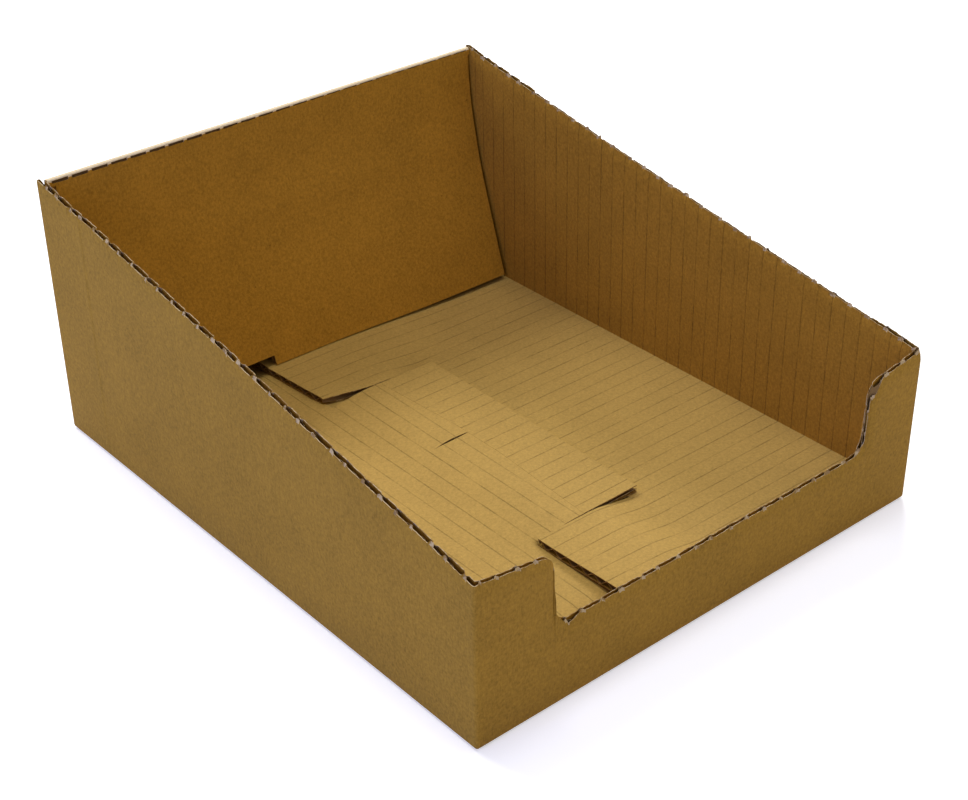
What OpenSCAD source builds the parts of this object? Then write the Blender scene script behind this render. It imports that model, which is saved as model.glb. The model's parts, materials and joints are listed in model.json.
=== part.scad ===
// Corrugated box: shelf tray left when the hood of a snap-lock carton is torn off
// along its perforations. The back top flap stays and is folded down inside.
// Units are millimetres: X right along the front wall, Y towards the back, Z up.

/* [Walls] */
// Outside width of the box
box_w = 200; // [166:1:260]
// Outside depth of the box, front to back
box_d = 239; // [190:1:300]
// Height at the back
back_h = 103; // [85:1:130]
// Height of the side walls at the front corners
front_h = 61; // [50:1:75]
// Height of the front lip between the two shoulders
lip_h = 30; // [20:1:36]

/* [Board] */
// Thickness of the corrugated board
board_t = 2.8; // [2.4:0.1:3.4]
// Thickness of each liner sheet
liner_t = 0.35; // [0.25:0.05:0.5]
// Thickness of the wavy medium
medium_t = 0.3; // [0.2:0.05:0.4]
// Distance from one flute to the next
flute_pitch = 6.5; // [5.4:0.1:7.8]
// Radius on the outside of every fold
fold_r = 1.5; // [1:0.1:2]
// Solid band where the flutes are crushed at a fold
crush = 1.6; // [1:0.1:2.5]

/* [Perforations] */
// Length of each cut
perf_cut = 6.5; // [5:0.1:8]
// Width of each tie between two cuts
perf_tie = 1.5; // [1:0.1:2]
// Height of a torn tie above the cut edge
tie_h = 0.6; // [0.2:0.1:1]
// Width of the slits along the fold of the back flap
slit_w = 0.7; // [0.4:0.1:1]

/* [Front opening] */
// Left side of the opening from the middle
open_left = 69; // [50:1:72]
// Right side of the opening from the middle
open_right = 75; // [50:1:78]
// Radius at the two lower corners
open_r = 7.5; // [4:0.5:10]
// Radius at the two shoulders
shoulder_r = 5; // [2:0.5:8]
// Drop from the front corners to the shoulders
shoulder_drop = 3.4; // [1:0.1:5]

/* [Back flap] */
// Lean of the upper part from vertical
lean_top = 3; // [2:0.5:6]
// Lean of the middle part from vertical
lean_mid = 10; // [6:0.5:14]
// Lean of the lower part from vertical
lean_low = 17.2; // [14:0.1:19]
// Length of the upper part
bow_top = 30; // [20:1:36]
// Length of the middle part
bow_mid = 15; // [10:1:20]
// Height of the step at the left of the free edge
step_h = 4.5; // [2:0.5:6]
// Where the step ends, left of the middle
step_x = 22; // [10:1:40]

/* [Bottom flaps] */
// Tip of the front minor flap, behind the middle
front_tip = 10.2; // [0:0.1:12]
// Gap between the tips of the two minor flaps
tip_gap = 1; // [0.6:0.1:3]
// Right edge of the minor flaps, right of the middle
minor_edge = 2; // [-2:0.5:3]
// Free end of the tongue, right of the middle
tongue_end = 24.5; // [22:0.5:32]
// Front side of the tongue, in front of the middle
tongue_front = 60.7; // [40:0.1:64]
// Back side of the tongue, behind the middle
tongue_back = 56; // [40:0.1:60]
// Left end of the front leg, left of the middle
front_leg = 22; // [12:1:30]
// Left end of the back leg, left of the middle
back_leg = 26; // [12:1:32]

/* [Fits] */
// Air between two layers of the bottom
layer_gap = 0.15; // [0.1:0.05:0.3]
// Air between the back flap and what it passes
flap_gap = 0.35; // [0.3:0.05:0.6]
// Air between the tongue and the slot it sits in
slot_gap = 0.5; // [0.3:0.1:1]

/* [Hidden] */
$fn = 48;

half_w = box_w / 2;
half_d = box_d / 2;
in_w = half_w - board_t;
in_d = half_d - board_t;
// how far a cutting body runs past what it cuts
past = 2;
// how far a flap or tab runs into the wall that it is one piece with
seat = board_t / 2;
shoulder_h = front_h - shoulder_drop;

// section of the board: trapezoid flutes on both sides of the wavy medium
core_h = board_t - 2 * liner_t;
cell_h = core_h - medium_t;
web_share = 0.23;
web_run = web_share * flute_pitch;
web_gap = medium_t * sqrt(1 + pow(web_run / cell_h, 2));
narrow = (flute_pitch / 2 - web_run * (cell_h - medium_t) / cell_h - web_gap) / 2;
wide = narrow + web_run;

// levels of the folded bottom, each measured to the underside of a sheet
level_1 = board_t + layer_gap;
level_2 = 2 * level_1;
bottom_h = level_2 + board_t;
fold_h = level_1 + board_t;
// flat part of a minor flap next to its fold, and the length over which a sheet climbs
strip = 10;
ramp = 14;
// notch at each end of a bottom fold
relief = 2.2;
// air beside the minor flaps, before the leg panel and before the tongue climb
leg_clear = 2;
rise_clear = 1.3;
// flat part of the leg panel before the slot
slot_flat = 1;
leg_ramp_a = minor_edge + leg_clear;
leg_ramp_b = leg_ramp_a + ramp;
slot_x = leg_ramp_b + slot_flat;
slot_front = tongue_front + slot_gap;
slot_back = tongue_back + slot_gap;
// the lock panel narrows to the tongue between these two distances left of the middle
body_end = in_w / 2;
neck_end = in_w / 6;

// fold line of the back flap
pivot_y = in_d - flap_gap;
pivot_z = back_h - board_t;
perf_pitch = perf_cut + perf_tie;

// joint tab inside the left wall
tab_w = 28;
tab_drop = 10;
tab_lift = 1;
tab_top = pivot_z - tab_drop;
tab_bottom = bottom_h + tab_lift;

node_colour = [0.66, 0.5, 0.3];

function lean_dir(a) = [-sin(a), -cos(a)];
function lean_out(a) = [-cos(a), sin(a)];
function mitre(a, b) = (lean_out(a) + lean_out(b)) / (1 + lean_out(a) * lean_out(b));
function flutes_in(span) = floor(span / flute_pitch);

// one row of flute sections, centred on X, thickness from 0 to board_t along Y
module flute_row(count) {
    for (i = [0 : count - 1]) {
        translate([(i - count / 2 + 0.25) * flute_pitch, 0]) {
            polygon([
                [-wide, liner_t],
                [wide, liner_t],
                [narrow, liner_t + cell_h],
                [-narrow, liner_t + cell_h]
            ]);
            translate([flute_pitch / 2, 0])
                polygon([
                    [-narrow, board_t - liner_t - cell_h],
                    [narrow, board_t - liner_t - cell_h],
                    [wide, board_t - liner_t],
                    [-wide, board_t - liner_t]
                ]);
        }
    }
}

// flutes that run along +Y from y = 0, across X, with the sheet on z = 0
module flutes_y(count, length) {
    translate([0, length, 0])
        rotate([90, 0, 0])
            linear_extrude(length)
                flute_row(count);
}

// flutes that run along +X from x = 0, across Y
module flutes_x(count, length) {
    rotate([0, 0, -90])
        flutes_y(count, length);
}

// plan of the four walls with a rounded fold at each corner
module wall_plan() {
    difference() {
        square([box_w, box_d], center = true);
        square([2 * in_w, 2 * in_d], center = true);
        for (i = [0 : 3]) {
            mirror([i % 2, 0])
                mirror([0, floor(i / 2)])
                    difference() {
                        translate([half_w - fold_r, half_d - fold_r])
                            square(fold_r + past);
                        translate([half_w - fold_r, half_d - fold_r])
                            circle(fold_r);
                    }
        }
    }
}

// open flutes of the four walls, from the bottom fold upwards
module wall_flutes() {
    front_count = flutes_in(box_w - 4 * board_t);
    side_count = flutes_in(box_d - 4 * board_t);
    translate([0, 0, fold_h + crush])
        linear_extrude(back_h) {
            translate([0, -half_d])
                flute_row(front_count);
            translate([0, in_d])
                flute_row(front_count);
            translate([-in_w, 0])
                rotate(90)
                    flute_row(side_count);
            translate([half_w, 0])
                rotate(90)
                    flute_row(side_count);
        }
}

// everything above the torn slope of the side walls, in Y and Z
module slope_cut() {
    slope = (back_h - front_h) / box_d;
    ties = floor(2 * in_d / perf_pitch);
    first = -ties * perf_pitch / 2;
    teeth = [
        for (i = [0 : ties - 1], k = [0 : 3])
            let (
                y = first + i * perf_pitch + perf_cut + (k < 2 ? 0 : perf_tie),
                up = (k == 1 || k == 2) ? tie_h : 0
            )
            [y, front_h + (y + half_d) * slope + up]
    ];
    polygon(concat(
        [[-half_d - past, back_h + past], [-half_d - past, front_h - past * slope]],
        teeth,
        [[half_d + past, back_h + past * slope], [half_d + past, back_h + past]]
    ));
}

// one quarter round, used to round or to fill a square corner
module corner_piece(r) {
    difference() {
        square(r);
        translate([r, r])
            circle(r);
    }
}

// opening in the front wall, in X and Z
module front_opening() {
    difference() {
        translate([-open_left, lip_h])
            square([open_left + open_right, back_h]);
        translate([-open_left, lip_h])
            corner_piece(open_r);
        translate([open_right, lip_h])
            mirror([1, 0])
                corner_piece(open_r);
    }
    translate([-open_left, shoulder_h])
        rotate(180)
            corner_piece(shoulder_r);
    translate([open_right, shoulder_h])
        mirror([0, 1])
            corner_piece(shoulder_r);
    polygon([
        [-half_w - past, front_h],
        [-half_w, front_h],
        [-open_left - shoulder_r, shoulder_h],
        [-open_left + past, shoulder_h],
        [-open_left + past, back_h],
        [-half_w - past, back_h]
    ]);
    polygon([
        [half_w + past, front_h],
        [half_w, front_h],
        [open_right + shoulder_r, shoulder_h],
        [open_right - past, shoulder_h],
        [open_right - past, back_h],
        [half_w + past, back_h]
    ]);
}

// rounding of a bottom fold that runs along X, taken off at y = 0, z = 0
module fold_round(length) {
    translate([-length / 2, 0, 0])
        rotate([90, 0, 90])
            linear_extrude(length)
                difference() {
                    translate([-past, -past])
                        square(past + fold_r);
                    translate([fold_r, fold_r])
                        circle(fold_r);
                    translate([fold_r, -past])
                        square(past);
                }
}

// side view of a sheet that starts at the wall on level 0 and climbs to level 1,
// drawn from the wall at 0 towards the tip
module climbing_side(reach) {
    polygon([
        [-seat, 0],
        [strip, 0],
        [strip + ramp, level_1],
        [reach, level_1],
        [reach, level_1 + board_t],
        [strip + ramp, level_1 + board_t],
        [strip, board_t],
        [-seat, board_t]
    ]);
}

// minor flap on the front wall, tip towards +Y, measured from the inside of the wall:
// its left part reaches the middle, its right part stays flat under the leg panel
module minor_flap(reach, flat_reach) {
    climb = atan2(level_1, ramp);
    ramp_len = ramp / cos(climb);
    left_x = -in_w + relief;
    right_x = in_w - relief;
    cut_x = minor_edge + slot_gap;
    span = minor_edge - left_x;
    mid_x = (minor_edge + left_x) / 2;
    flat_span = right_x - cut_x;
    flat_mid = (right_x + cut_x) / 2;
    difference() {
        union() {
            // part that climbs over the lock panel
            translate([left_x, 0, 0])
                rotate([90, 0, 90])
                    linear_extrude(span)
                        climbing_side(reach);
            // strip along the whole fold
            translate([left_x, -seat, 0])
                cube([right_x - left_x, strip + seat, board_t]);
            // flat part to the right of the cut
            translate([cut_x, -seat, 0])
                cube([flat_span, flat_reach + seat, board_t]);
        }
        translate([mid_x, crush, 0])
            flutes_y(flutes_in(span), strip - 2 * crush);
        translate([mid_x, strip, 0])
            rotate([climb, 0, 0])
                translate([0, crush / 2, 0])
                    flutes_y(flutes_in(span), ramp_len - crush);
        translate([mid_x, strip + ramp + crush / 2, level_1])
            flutes_y(flutes_in(span), reach);
        translate([flat_mid, crush, 0])
            flutes_y(flutes_in(flat_span), flat_reach);
    }
}

// lock panel of the left wall: flat body, then the tongue that climbs into the slot
module lock_panel() {
    body_y = in_d - strip - ramp - relief;
    rise_a = minor_edge + rise_clear;
    rise_b = slot_x - slot_gap;
    climb = atan2(level_2, rise_b - rise_a);
    rise_len = (rise_b - rise_a) / cos(climb);
    mid_y = (tongue_back - tongue_front) / 2;
    tongue_w = tongue_front + tongue_back;
    difference() {
        intersection() {
            translate([0, half_d, 0])
                rotate([90, 0, 0])
                    linear_extrude(box_d)
                        polygon([
                            [-in_w - seat, 0],
                            [rise_a, 0],
                            [rise_b, level_2],
                            [tongue_end, level_2],
                            [tongue_end, bottom_h],
                            [rise_b, bottom_h],
                            [rise_a, board_t],
                            [-in_w - seat, board_t]
                        ]);
            linear_extrude(bottom_h + past)
                polygon([
                    [-half_w, -body_y],
                    [-body_end, -body_y],
                    [-neck_end, -tongue_front],
                    [half_w, -tongue_front],
                    [half_w, tongue_back],
                    [-neck_end, tongue_back],
                    [-body_end, body_y],
                    [-half_w, body_y]
                ]);
        }
        translate([-in_w + crush, 0, 0])
            flutes_x(flutes_in(2 * body_y), in_w + rise_a - 2 * crush);
        translate([rise_a, mid_y, 0])
            rotate([0, -climb, 0])
                translate([crush / 2, 0, 0])
                    flutes_x(flutes_in(tongue_w), rise_len - crush);
        translate([rise_b + crush / 2, mid_y, level_2])
            flutes_x(flutes_in(tongue_w), tongue_end);
    }
}

// panel of the right wall: body on level 1, two legs that climb to level 2
module leg_panel() {
    edge_y = in_d - relief;
    climb = atan2(level_2 - level_1, leg_ramp_b - leg_ramp_a);
    climb_len = (leg_ramp_b - leg_ramp_a) / cos(climb);
    front_mid = -(edge_y + slot_front) / 2;
    back_mid = (edge_y + slot_back) / 2;
    front_count = flutes_in(edge_y - slot_front);
    back_count = flutes_in(edge_y - slot_back);
    reach = max(front_leg, back_leg) + leg_ramp_a;
    difference() {
        intersection() {
            translate([0, half_d, 0])
                rotate([90, 0, 0])
                    linear_extrude(box_d)
                        polygon([
                            [-half_w, level_2],
                            [leg_ramp_a, level_2],
                            [leg_ramp_b, level_1],
                            [in_w + seat, level_1],
                            [in_w + seat, fold_h],
                            [leg_ramp_b, fold_h],
                            [leg_ramp_a, bottom_h],
                            [-half_w, bottom_h]
                        ]);
            linear_extrude(bottom_h + past)
                polygon([
                    [half_w, -edge_y],
                    [half_w, edge_y],
                    [-back_leg, edge_y],
                    [-back_leg, slot_back],
                    [slot_x, slot_back],
                    [slot_x, -slot_front],
                    [-front_leg, -slot_front],
                    [-front_leg, -edge_y]
                ]);
        }
        translate([leg_ramp_b + crush / 2, 0, level_1])
            flutes_x(flutes_in(2 * edge_y), in_w - leg_ramp_b - 1.5 * crush);
        for (leg = [[front_mid, front_count], [back_mid, back_count]]) {
            translate([leg_ramp_a, leg[0], level_2])
                rotate([0, climb, 0])
                    translate([crush / 2, 0, 0])
                        flutes_x(leg[1], climb_len - crush);
            translate([leg_ramp_a - crush / 2 - reach, leg[0], level_2])
                flutes_x(leg[1], reach);
        }
    }
}

// joint tab of the back wall, glued to the inside of the left wall
module joint_tab() {
    chamfer = tab_w / 2;
    difference() {
        translate([-in_w - seat, 0, 0])
            rotate([90, 0, 90])
                linear_extrude(seat + board_t)
                    polygon([
                        [in_d + seat, tab_bottom],
                        [in_d + seat, tab_top],
                        [in_d - tab_w, tab_top - chamfer],
                        [in_d - tab_w, tab_bottom + chamfer]
                    ]);
        translate([-in_w + board_t, in_d - crush - tab_w / 2, 0])
            linear_extrude(back_h)
                rotate(90)
                    flute_row(flutes_in(tab_w));
    }
}

// shell of the four walls, with flutes, torn slope and front opening
module walls() {
    difference() {
        linear_extrude(back_h)
            wall_plan();
        wall_flutes();
        // torn slope of the sides
        translate([-half_w - past, 0, 0])
            rotate([90, 0, 90])
                linear_extrude(box_w + 2 * past)
                    slope_cut();
        // front opening
        translate([0, -in_d + past, 0])
            rotate([90, 0, 0])
                linear_extrude(board_t + 2 * past)
                    front_opening();
        // seat of the flap fold along the top of the back wall
        translate([-in_w, pivot_y, pivot_z])
            rotate([0, 90, 0])
                cylinder(r = board_t + flap_gap, h = 2 * in_w);
        translate([-in_w, pivot_y, pivot_z])
            cube([2 * in_w, board_t + past, board_t + past]);
        // the right wall ends at its fold on level 1
        translate([in_w - past, -in_d + relief, -past])
            cube([board_t + 2 * past, 2 * (in_d - relief), past + level_1]);
    }
}

module tray() {
    color(node_colour)
        difference() {
            union() {
                walls();
                translate([0, -in_d, 0])
                    minor_flap(in_d + front_tip, in_d - slot_front);
                translate([0, in_d, 0])
                    mirror([0, 1, 0])
                        minor_flap(in_d - front_tip - tip_gap, in_d - slot_back);
                lock_panel();
                leg_panel();
                joint_tab();
            }
            // rounded outside of the bottom folds
            translate([0, -half_d, 0])
                fold_round(box_w + past);
            translate([0, half_d, 0])
                rotate([0, 0, 180])
                    fold_round(box_w + past);
            translate([-half_w, 0, 0])
                rotate([0, 0, -90])
                    fold_round(box_d + past);
            translate([half_w, 0, level_1])
                rotate([0, 0, 90])
                    fold_round(2 * (in_d - relief));
        }
}

module back_flap() {
    left_x = in_w - board_t - flap_gap;
    right_x = in_w - flap_gap;
    span = left_x + right_x;
    mid_x = (right_x - left_x) / 2;
    count = flutes_in(span);
    slits = floor(2 * right_x / perf_pitch);
    p0 = [pivot_y, pivot_z];
    p1 = p0 + bow_top * lean_dir(lean_top);
    p2 = p1 + bow_mid * lean_dir(lean_mid);
    low_len = (p2[1] - bottom_h - flap_gap) / cos(lean_low);
    p3 = p2 + low_len * lean_dir(lean_low);
    q0 = p0 + board_t * lean_out(lean_top);
    q1 = p1 + board_t * mitre(lean_top, lean_mid);
    q2 = p2 + board_t * mitre(lean_mid, lean_low);
    q3 = p3 + board_t * lean_out(lean_low);
    color(node_colour)
        difference() {
            union() {
                translate([-left_x, 0, 0])
                    rotate([90, 0, 90])
                        linear_extrude(span)
                            polygon([p0, p1, p2, p3, q3, q2, q1, q0]);
                // rolled fold
                translate([-right_x, pivot_y, pivot_z])
                    rotate([0, 90, 0])
                        cylinder(r = board_t, h = 2 * right_x);
            }
            // flutes of the three straight parts
            translate([mid_x, p0[0], p0[1]])
                rotate([-90 - lean_top, 0, 0])
                    translate([0, board_t + crush, -board_t])
                        flutes_y(count, bow_top - board_t - 1.5 * crush);
            translate([mid_x, p1[0], p1[1]])
                rotate([-90 - lean_mid, 0, 0])
                    translate([0, crush / 2, -board_t])
                        flutes_y(count, bow_mid - crush);
            translate([mid_x, p2[0], p2[1]])
                rotate([-90 - lean_low, 0, 0])
                    translate([0, crush / 2, -board_t])
                        flutes_y(count, low_len + past);
            // step in the free edge
            translate([-half_w, p3[0], p3[1]])
                rotate([-90 - lean_low, 0, 0])
                    translate([0, -step_h, -board_t - past])
                        cube([half_w - step_x, step_h + past, board_t + 2 * past]);
            // slits of the perforated fold
            for (i = [0 : slits - 1])
                translate([(i - slits / 2) * perf_pitch + perf_tie / 2, pivot_y, pivot_z])
                    translate([0, -slit_w / 2, board_t / 4])
                        cube([perf_cut, slit_w, board_t]);
        }
}

tray();
back_flap();
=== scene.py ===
"""Visual model of the corrugated tray box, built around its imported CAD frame.

Every layer of the board is its own mesh: two paper liners and the wavy medium between
them. A layer is a surface worked out on a grid of two parameters and given a thickness.
Sizes are in metres.
"""

import json
import logging
from dataclasses import dataclass, field
from enum import Enum, IntEnum
from typing import Callable, Iterable

import bpy
import numpy as np
from mathutils import Matrix, Vector
from numpy.typing import NDArray


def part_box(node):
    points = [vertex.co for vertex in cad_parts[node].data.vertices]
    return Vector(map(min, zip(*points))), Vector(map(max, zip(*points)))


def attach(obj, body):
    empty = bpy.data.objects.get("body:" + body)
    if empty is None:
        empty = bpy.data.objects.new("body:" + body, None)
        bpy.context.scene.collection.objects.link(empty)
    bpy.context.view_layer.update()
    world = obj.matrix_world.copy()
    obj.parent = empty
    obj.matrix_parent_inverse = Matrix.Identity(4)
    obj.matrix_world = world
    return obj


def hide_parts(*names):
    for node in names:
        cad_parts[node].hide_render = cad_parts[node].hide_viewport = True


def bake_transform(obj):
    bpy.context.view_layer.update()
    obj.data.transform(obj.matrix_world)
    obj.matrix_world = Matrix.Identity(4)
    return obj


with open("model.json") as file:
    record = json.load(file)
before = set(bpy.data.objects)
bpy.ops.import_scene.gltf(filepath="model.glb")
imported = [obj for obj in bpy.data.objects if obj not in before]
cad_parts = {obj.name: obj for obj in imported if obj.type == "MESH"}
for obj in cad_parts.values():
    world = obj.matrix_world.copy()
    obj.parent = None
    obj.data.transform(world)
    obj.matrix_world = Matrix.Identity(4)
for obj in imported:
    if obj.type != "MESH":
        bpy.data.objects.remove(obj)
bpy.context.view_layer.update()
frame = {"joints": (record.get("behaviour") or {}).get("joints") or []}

LOG = logging.getLogger("corrugated_box")
MM = 1e-3
SEED = 20488
KNOTS = 4096  # random values in one line of noise
TOUCH = 0.01 * MM  # two places closer than this are the same
CLEAR = 0.05 * MM  # the model keeps this far inside the CAD's box

Array = NDArray[np.float64]
Mask = NDArray[np.bool_]
Index = NDArray[np.int64]
Range = tuple[float, float]
Triple = tuple[float, float, float]
Material = bpy.types.Material
Node = bpy.types.Node
Object = bpy.types.Object
Socket = bpy.types.NodeSocket


# ---------------------------------------------------------------- board


@dataclass(frozen=True)
class BoardSpec:
    """Sizes of the single-wall board: its sheets, its flutes and its perforation."""

    thickness: float = 2.8 * MM
    liner: float = 0.34 * MM
    medium: float = 0.26 * MM
    pitch: float = 6.5 * MM
    cut: float = 6.5 * MM
    tie: float = 1.5 * MM

    @property
    def perforation(self) -> float:
        """Distance from one tie to the next."""
        return self.cut + self.tie

    @property
    def amplitude(self) -> float:
        """Half the height of the medium's wave between the two liners."""
        return (self.thickness - 2 * self.liner - self.medium) / 2


BOARD = BoardSpec()


class Layer(Enum):
    """The three sheets that make up the board."""

    OUTER = "outer"
    MEDIUM = "medium"
    INNER = "inner"


class Finish(IntEnum):
    """Place of each finish in a sheet's list of materials."""

    FACE = 0
    EDGE = 1
    TINT = 2


# ---------------------------------------------------------------- small maths


def smooth(x: Array | float, low: Array | float, high: Array | float) -> Array:
    """Smooth step from low to high: 3t^2 - 2t^3, with 0 below low and 1 above high."""
    t = np.clip((np.asarray(x, float) - low) / (high - low), 0.0, 1.0)
    return t * t * (3 - 2 * t)


def bump(x: Array | float, centre: float, half_width: float) -> Array:
    """Round hump: (1 - u^2)^2 within half_width of centre, and 0 outside."""
    u = np.clip((np.asarray(x, float) - centre) / half_width, -1.0, 1.0)
    return (1 - u * u) ** 2


def wobble(x: Array, step: float, seed: int) -> Array:
    """Smooth noise along a line: random values every step, joined by a smooth step.

    Args:
        x: Places along the line.
        step: Distance between two random values.
        seed: Seed of the random values.

    Returns:
        Noise from -1 to 1 at each place.
    """
    knots = np.random.default_rng(SEED + seed).uniform(-1, 1, KNOTS)
    s = np.asarray(x, float) / step
    i = np.floor(s).astype(int)
    t = smooth(s - i, 0.0, 1.0)
    return knots[i % KNOTS] * (1 - t) + knots[(i + 1) % KNOTS] * t


def spaced(low: float, high: float, step: float) -> Array:
    """Even values from low to high, at most step apart."""
    return np.linspace(low, high, max(2, int(np.ceil((high - low) / step)) + 1))


def lines_through(stops: list[float], step: float) -> Array:
    """Grid lines that pass through every stop, at most step apart.

    Args:
        stops: Values that get a line of their own.
        step: Largest distance between two lines.

    Returns:
        The sorted lines.
    """
    stops = sorted(set(stops))
    parts = [spaced(a, b, step)[:-1] for a, b in zip(stops, stops[1:])]
    return np.concatenate(parts + [np.array([stops[-1]])])


def middles(grid: Array) -> Array:
    """Middle of each quad of a grid: the mean of two opposite corners."""
    return (grid[1:, 1:] + grid[:-1, :-1]) / 2


def running_length(x: Array, z: Array) -> Array:
    """Length of a line up to each of its points: the sum of the steps before it."""
    return np.concatenate([[0], np.cumsum(np.hypot(np.diff(x), np.diff(z)))])


# ---------------------------------------------------------------- mesh making


@dataclass
class Sheet:
    """A thin closed sheet between two grids of points.

    Attributes:
        name: Name of the piece.
        top: Grid of points on one face, n x m x 3.
        bottom: Grid of points on the other face, n x m x 3.
        uv: Grid of distances across and along the flutes, n x m x 2.
        mask: Which quads exist, (n - 1) x (m - 1), or n x (m - 1) when closed.
        closed: Whether the first parameter runs round and meets itself.
        tint: Which quads of both faces take the third finish.
    """

    name: str
    top: Array
    bottom: Array
    uv: Array
    mask: Mask | None = None
    closed: bool = False
    tint: Mask | None = None

    def build(self, materials: list[Material]) -> Object:
        """Makes the mesh: both faces, and an edge wherever a quad has no neighbour.

        Args:
            materials: The finishes, in the order of Finish.

        Returns:
            The new object, at the origin.
        """
        n, m = self.top.shape[:2]
        rows = n if self.closed else n - 1
        mask = np.ones((rows, m - 1), bool) if self.mask is None else self.mask
        index = np.arange(n * m).reshape(n, m)
        wrap = np.vstack([index, index[:1]]) if self.closed else index
        i, j = np.nonzero(mask)
        quad = np.stack([wrap[i, j], wrap[i + 1, j], wrap[i + 1, j + 1], wrap[i, j + 1]], 1)
        low = n * m
        faces = [quad, quad[:, ::-1] + low]
        for side in self._edges(mask, wrap):
            start, end = side[:, 0], side[:, 1]
            faces.append(np.stack([end, start, start + low, end + low], 1))
        quads = np.concatenate(faces)
        verts = np.concatenate([self.top.reshape(-1, 3), self.bottom.reshape(-1, 3)])
        if self._inside_out(quad, verts, low):
            quads = quads[:, ::-1]
        uv = np.concatenate([self.uv.reshape(-1, 2)] * 2)
        finish = np.full(len(quads), Finish.EDGE, np.int32)
        tint = np.zeros(len(quad), bool) if self.tint is None else self.tint[i, j]
        finish[: 2 * len(quad)] = np.tile(np.where(tint, Finish.TINT, Finish.FACE), 2)
        return self._mesh(verts, quads, uv, finish, materials)

    def _edges(self, mask: Mask, wrap: Index) -> list[Index]:
        """Finds the pairs of points along every open side of the quads.

        Args:
            mask: Which quads exist.
            wrap: Index of each grid point, with the first row repeated when closed.

        Returns:
            Four lists of point pairs, in the order that keeps the sheet's outside out.
        """
        n, m = mask.shape
        no_row, no_column = np.zeros((1, m), bool), np.zeros((n, 1), bool)
        before = np.roll(mask, 1, 0) if self.closed else np.vstack([no_row, mask[:-1]])
        after = np.roll(mask, -1, 0) if self.closed else np.vstack([mask[1:], no_row])
        under = np.hstack([no_column, mask[:, :-1]])
        over = np.hstack([mask[:, 1:], no_column])
        pairs = []
        for near, ((a, b), (c, d)) in (
            (before, ((0, 1), (0, 0))),
            (after, ((1, 0), (1, 1))),
            (under, ((0, 0), (1, 0))),
            (over, ((1, 1), (0, 1))),
        ):
            i, j = np.nonzero(mask & ~near)
            pairs.append(np.stack([wrap[i + a, j + b], wrap[i + c, j + d]], 1))
        return pairs

    @staticmethod
    def _inside_out(quad: Index, verts: Array, low: int) -> bool:
        """Tells whether the top faces point at the bottom ones.

        Args:
            quad: The top quads.
            verts: All points.
            low: Offset from a top point to the bottom point under it.

        Returns:
            True when the faces have to be turned round.
        """
        a, b, c, d = (verts[quad[:, k]] for k in range(4))
        normal = np.cross(c - a, d - b)
        return float(np.sum(normal * (a - verts[quad[:, 0] + low]))) < 0

    def _mesh(
        self,
        verts: Array,
        quads: Index,
        uv: Array,
        finish: NDArray[np.int32],
        materials: list[Material],
    ) -> Object:
        """Puts the arrays into a Blender mesh.

        The faces are shaded smooth and the cut edges flat, and they meet at a sharp angle.

        Args:
            verts: All points.
            quads: All faces.
            uv: Flute coordinates of each point.
            finish: Number of each face's finish.
            materials: The finishes.

        Returns:
            The new object.
        """
        used, quads = np.unique(quads, return_inverse=True)
        quads = quads.reshape(-1, 4)
        mesh = bpy.data.meshes.new(self.name)
        mesh.vertices.add(len(used))
        mesh.vertices.foreach_set("co", verts[used].astype(np.float32).ravel())
        mesh.loops.add(quads.size)
        mesh.loops.foreach_set("vertex_index", quads.astype(np.int32).ravel())
        mesh.polygons.add(len(quads))
        mesh.polygons.foreach_set("loop_start", np.arange(0, quads.size, 4, dtype=np.int32))
        mesh.polygons.foreach_set("use_smooth", finish != Finish.EDGE)
        mesh.polygons.foreach_set("material_index", finish)
        flutes = mesh.uv_layers.new(name="Flutes")
        flutes.data.foreach_set("uv", uv[used][quads].astype(np.float32).ravel())
        mesh.update(calc_edges=True)
        mesh.validate()
        side = np.empty(len(mesh.loops), np.int32)
        mesh.loops.foreach_get("edge_index", side)
        sharp = np.zeros(len(mesh.edges), bool)
        sharp[side[np.repeat(finish == Finish.EDGE, 4)]] = True
        mesh.edges.foreach_set("use_edge_sharp", sharp)
        obj = bpy.data.objects.new(self.name, mesh)
        bpy.context.scene.collection.objects.link(obj)
        for material in materials:
            mesh.materials.append(material)
        LOG.info("%s: %d points, %d quads", self.name, len(used), len(quads))
        return obj


def layer_faces(
    layer: Layer, across: Array, crush: Array | float = 1.0
) -> tuple[tuple[Array, Array], tuple[Array, Array]]:
    """Where a layer's two faces lie in the board.

    The liners are flat. The medium's middle is the wave A cos(2 pi u / pitch), and its
    faces lie half its thickness along the wave's normal, so they also move sideways.

    Args:
        layer: Which sheet.
        across: Distance across the flutes.
        crush: 1 where the board is whole, towards 0 where it is pressed flat.

    Returns:
        The outer and the inner face, each as its height above the board's inner face and
        its sideways move.
    """
    zero = np.zeros_like(across)
    if layer is Layer.OUTER:
        return (zero + BOARD.thickness, zero), (zero + BOARD.thickness - BOARD.liner, zero)
    if layer is Layer.INNER:
        return (zero + BOARD.liner, zero), (zero, zero)
    turn = 2 * np.pi / BOARD.pitch
    middle = BOARD.thickness / 2 + BOARD.amplitude * crush * np.cos(turn * across)
    slope = -BOARD.amplitude * crush * turn * np.sin(turn * across)
    length = np.sqrt(1 + slope**2)
    lean = BOARD.medium / 2 * slope / length
    rise = BOARD.medium / 2 / length
    return (middle + rise, -lean), (middle - rise, lean)


# ---------------------------------------------------------------- shader graphs


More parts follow.
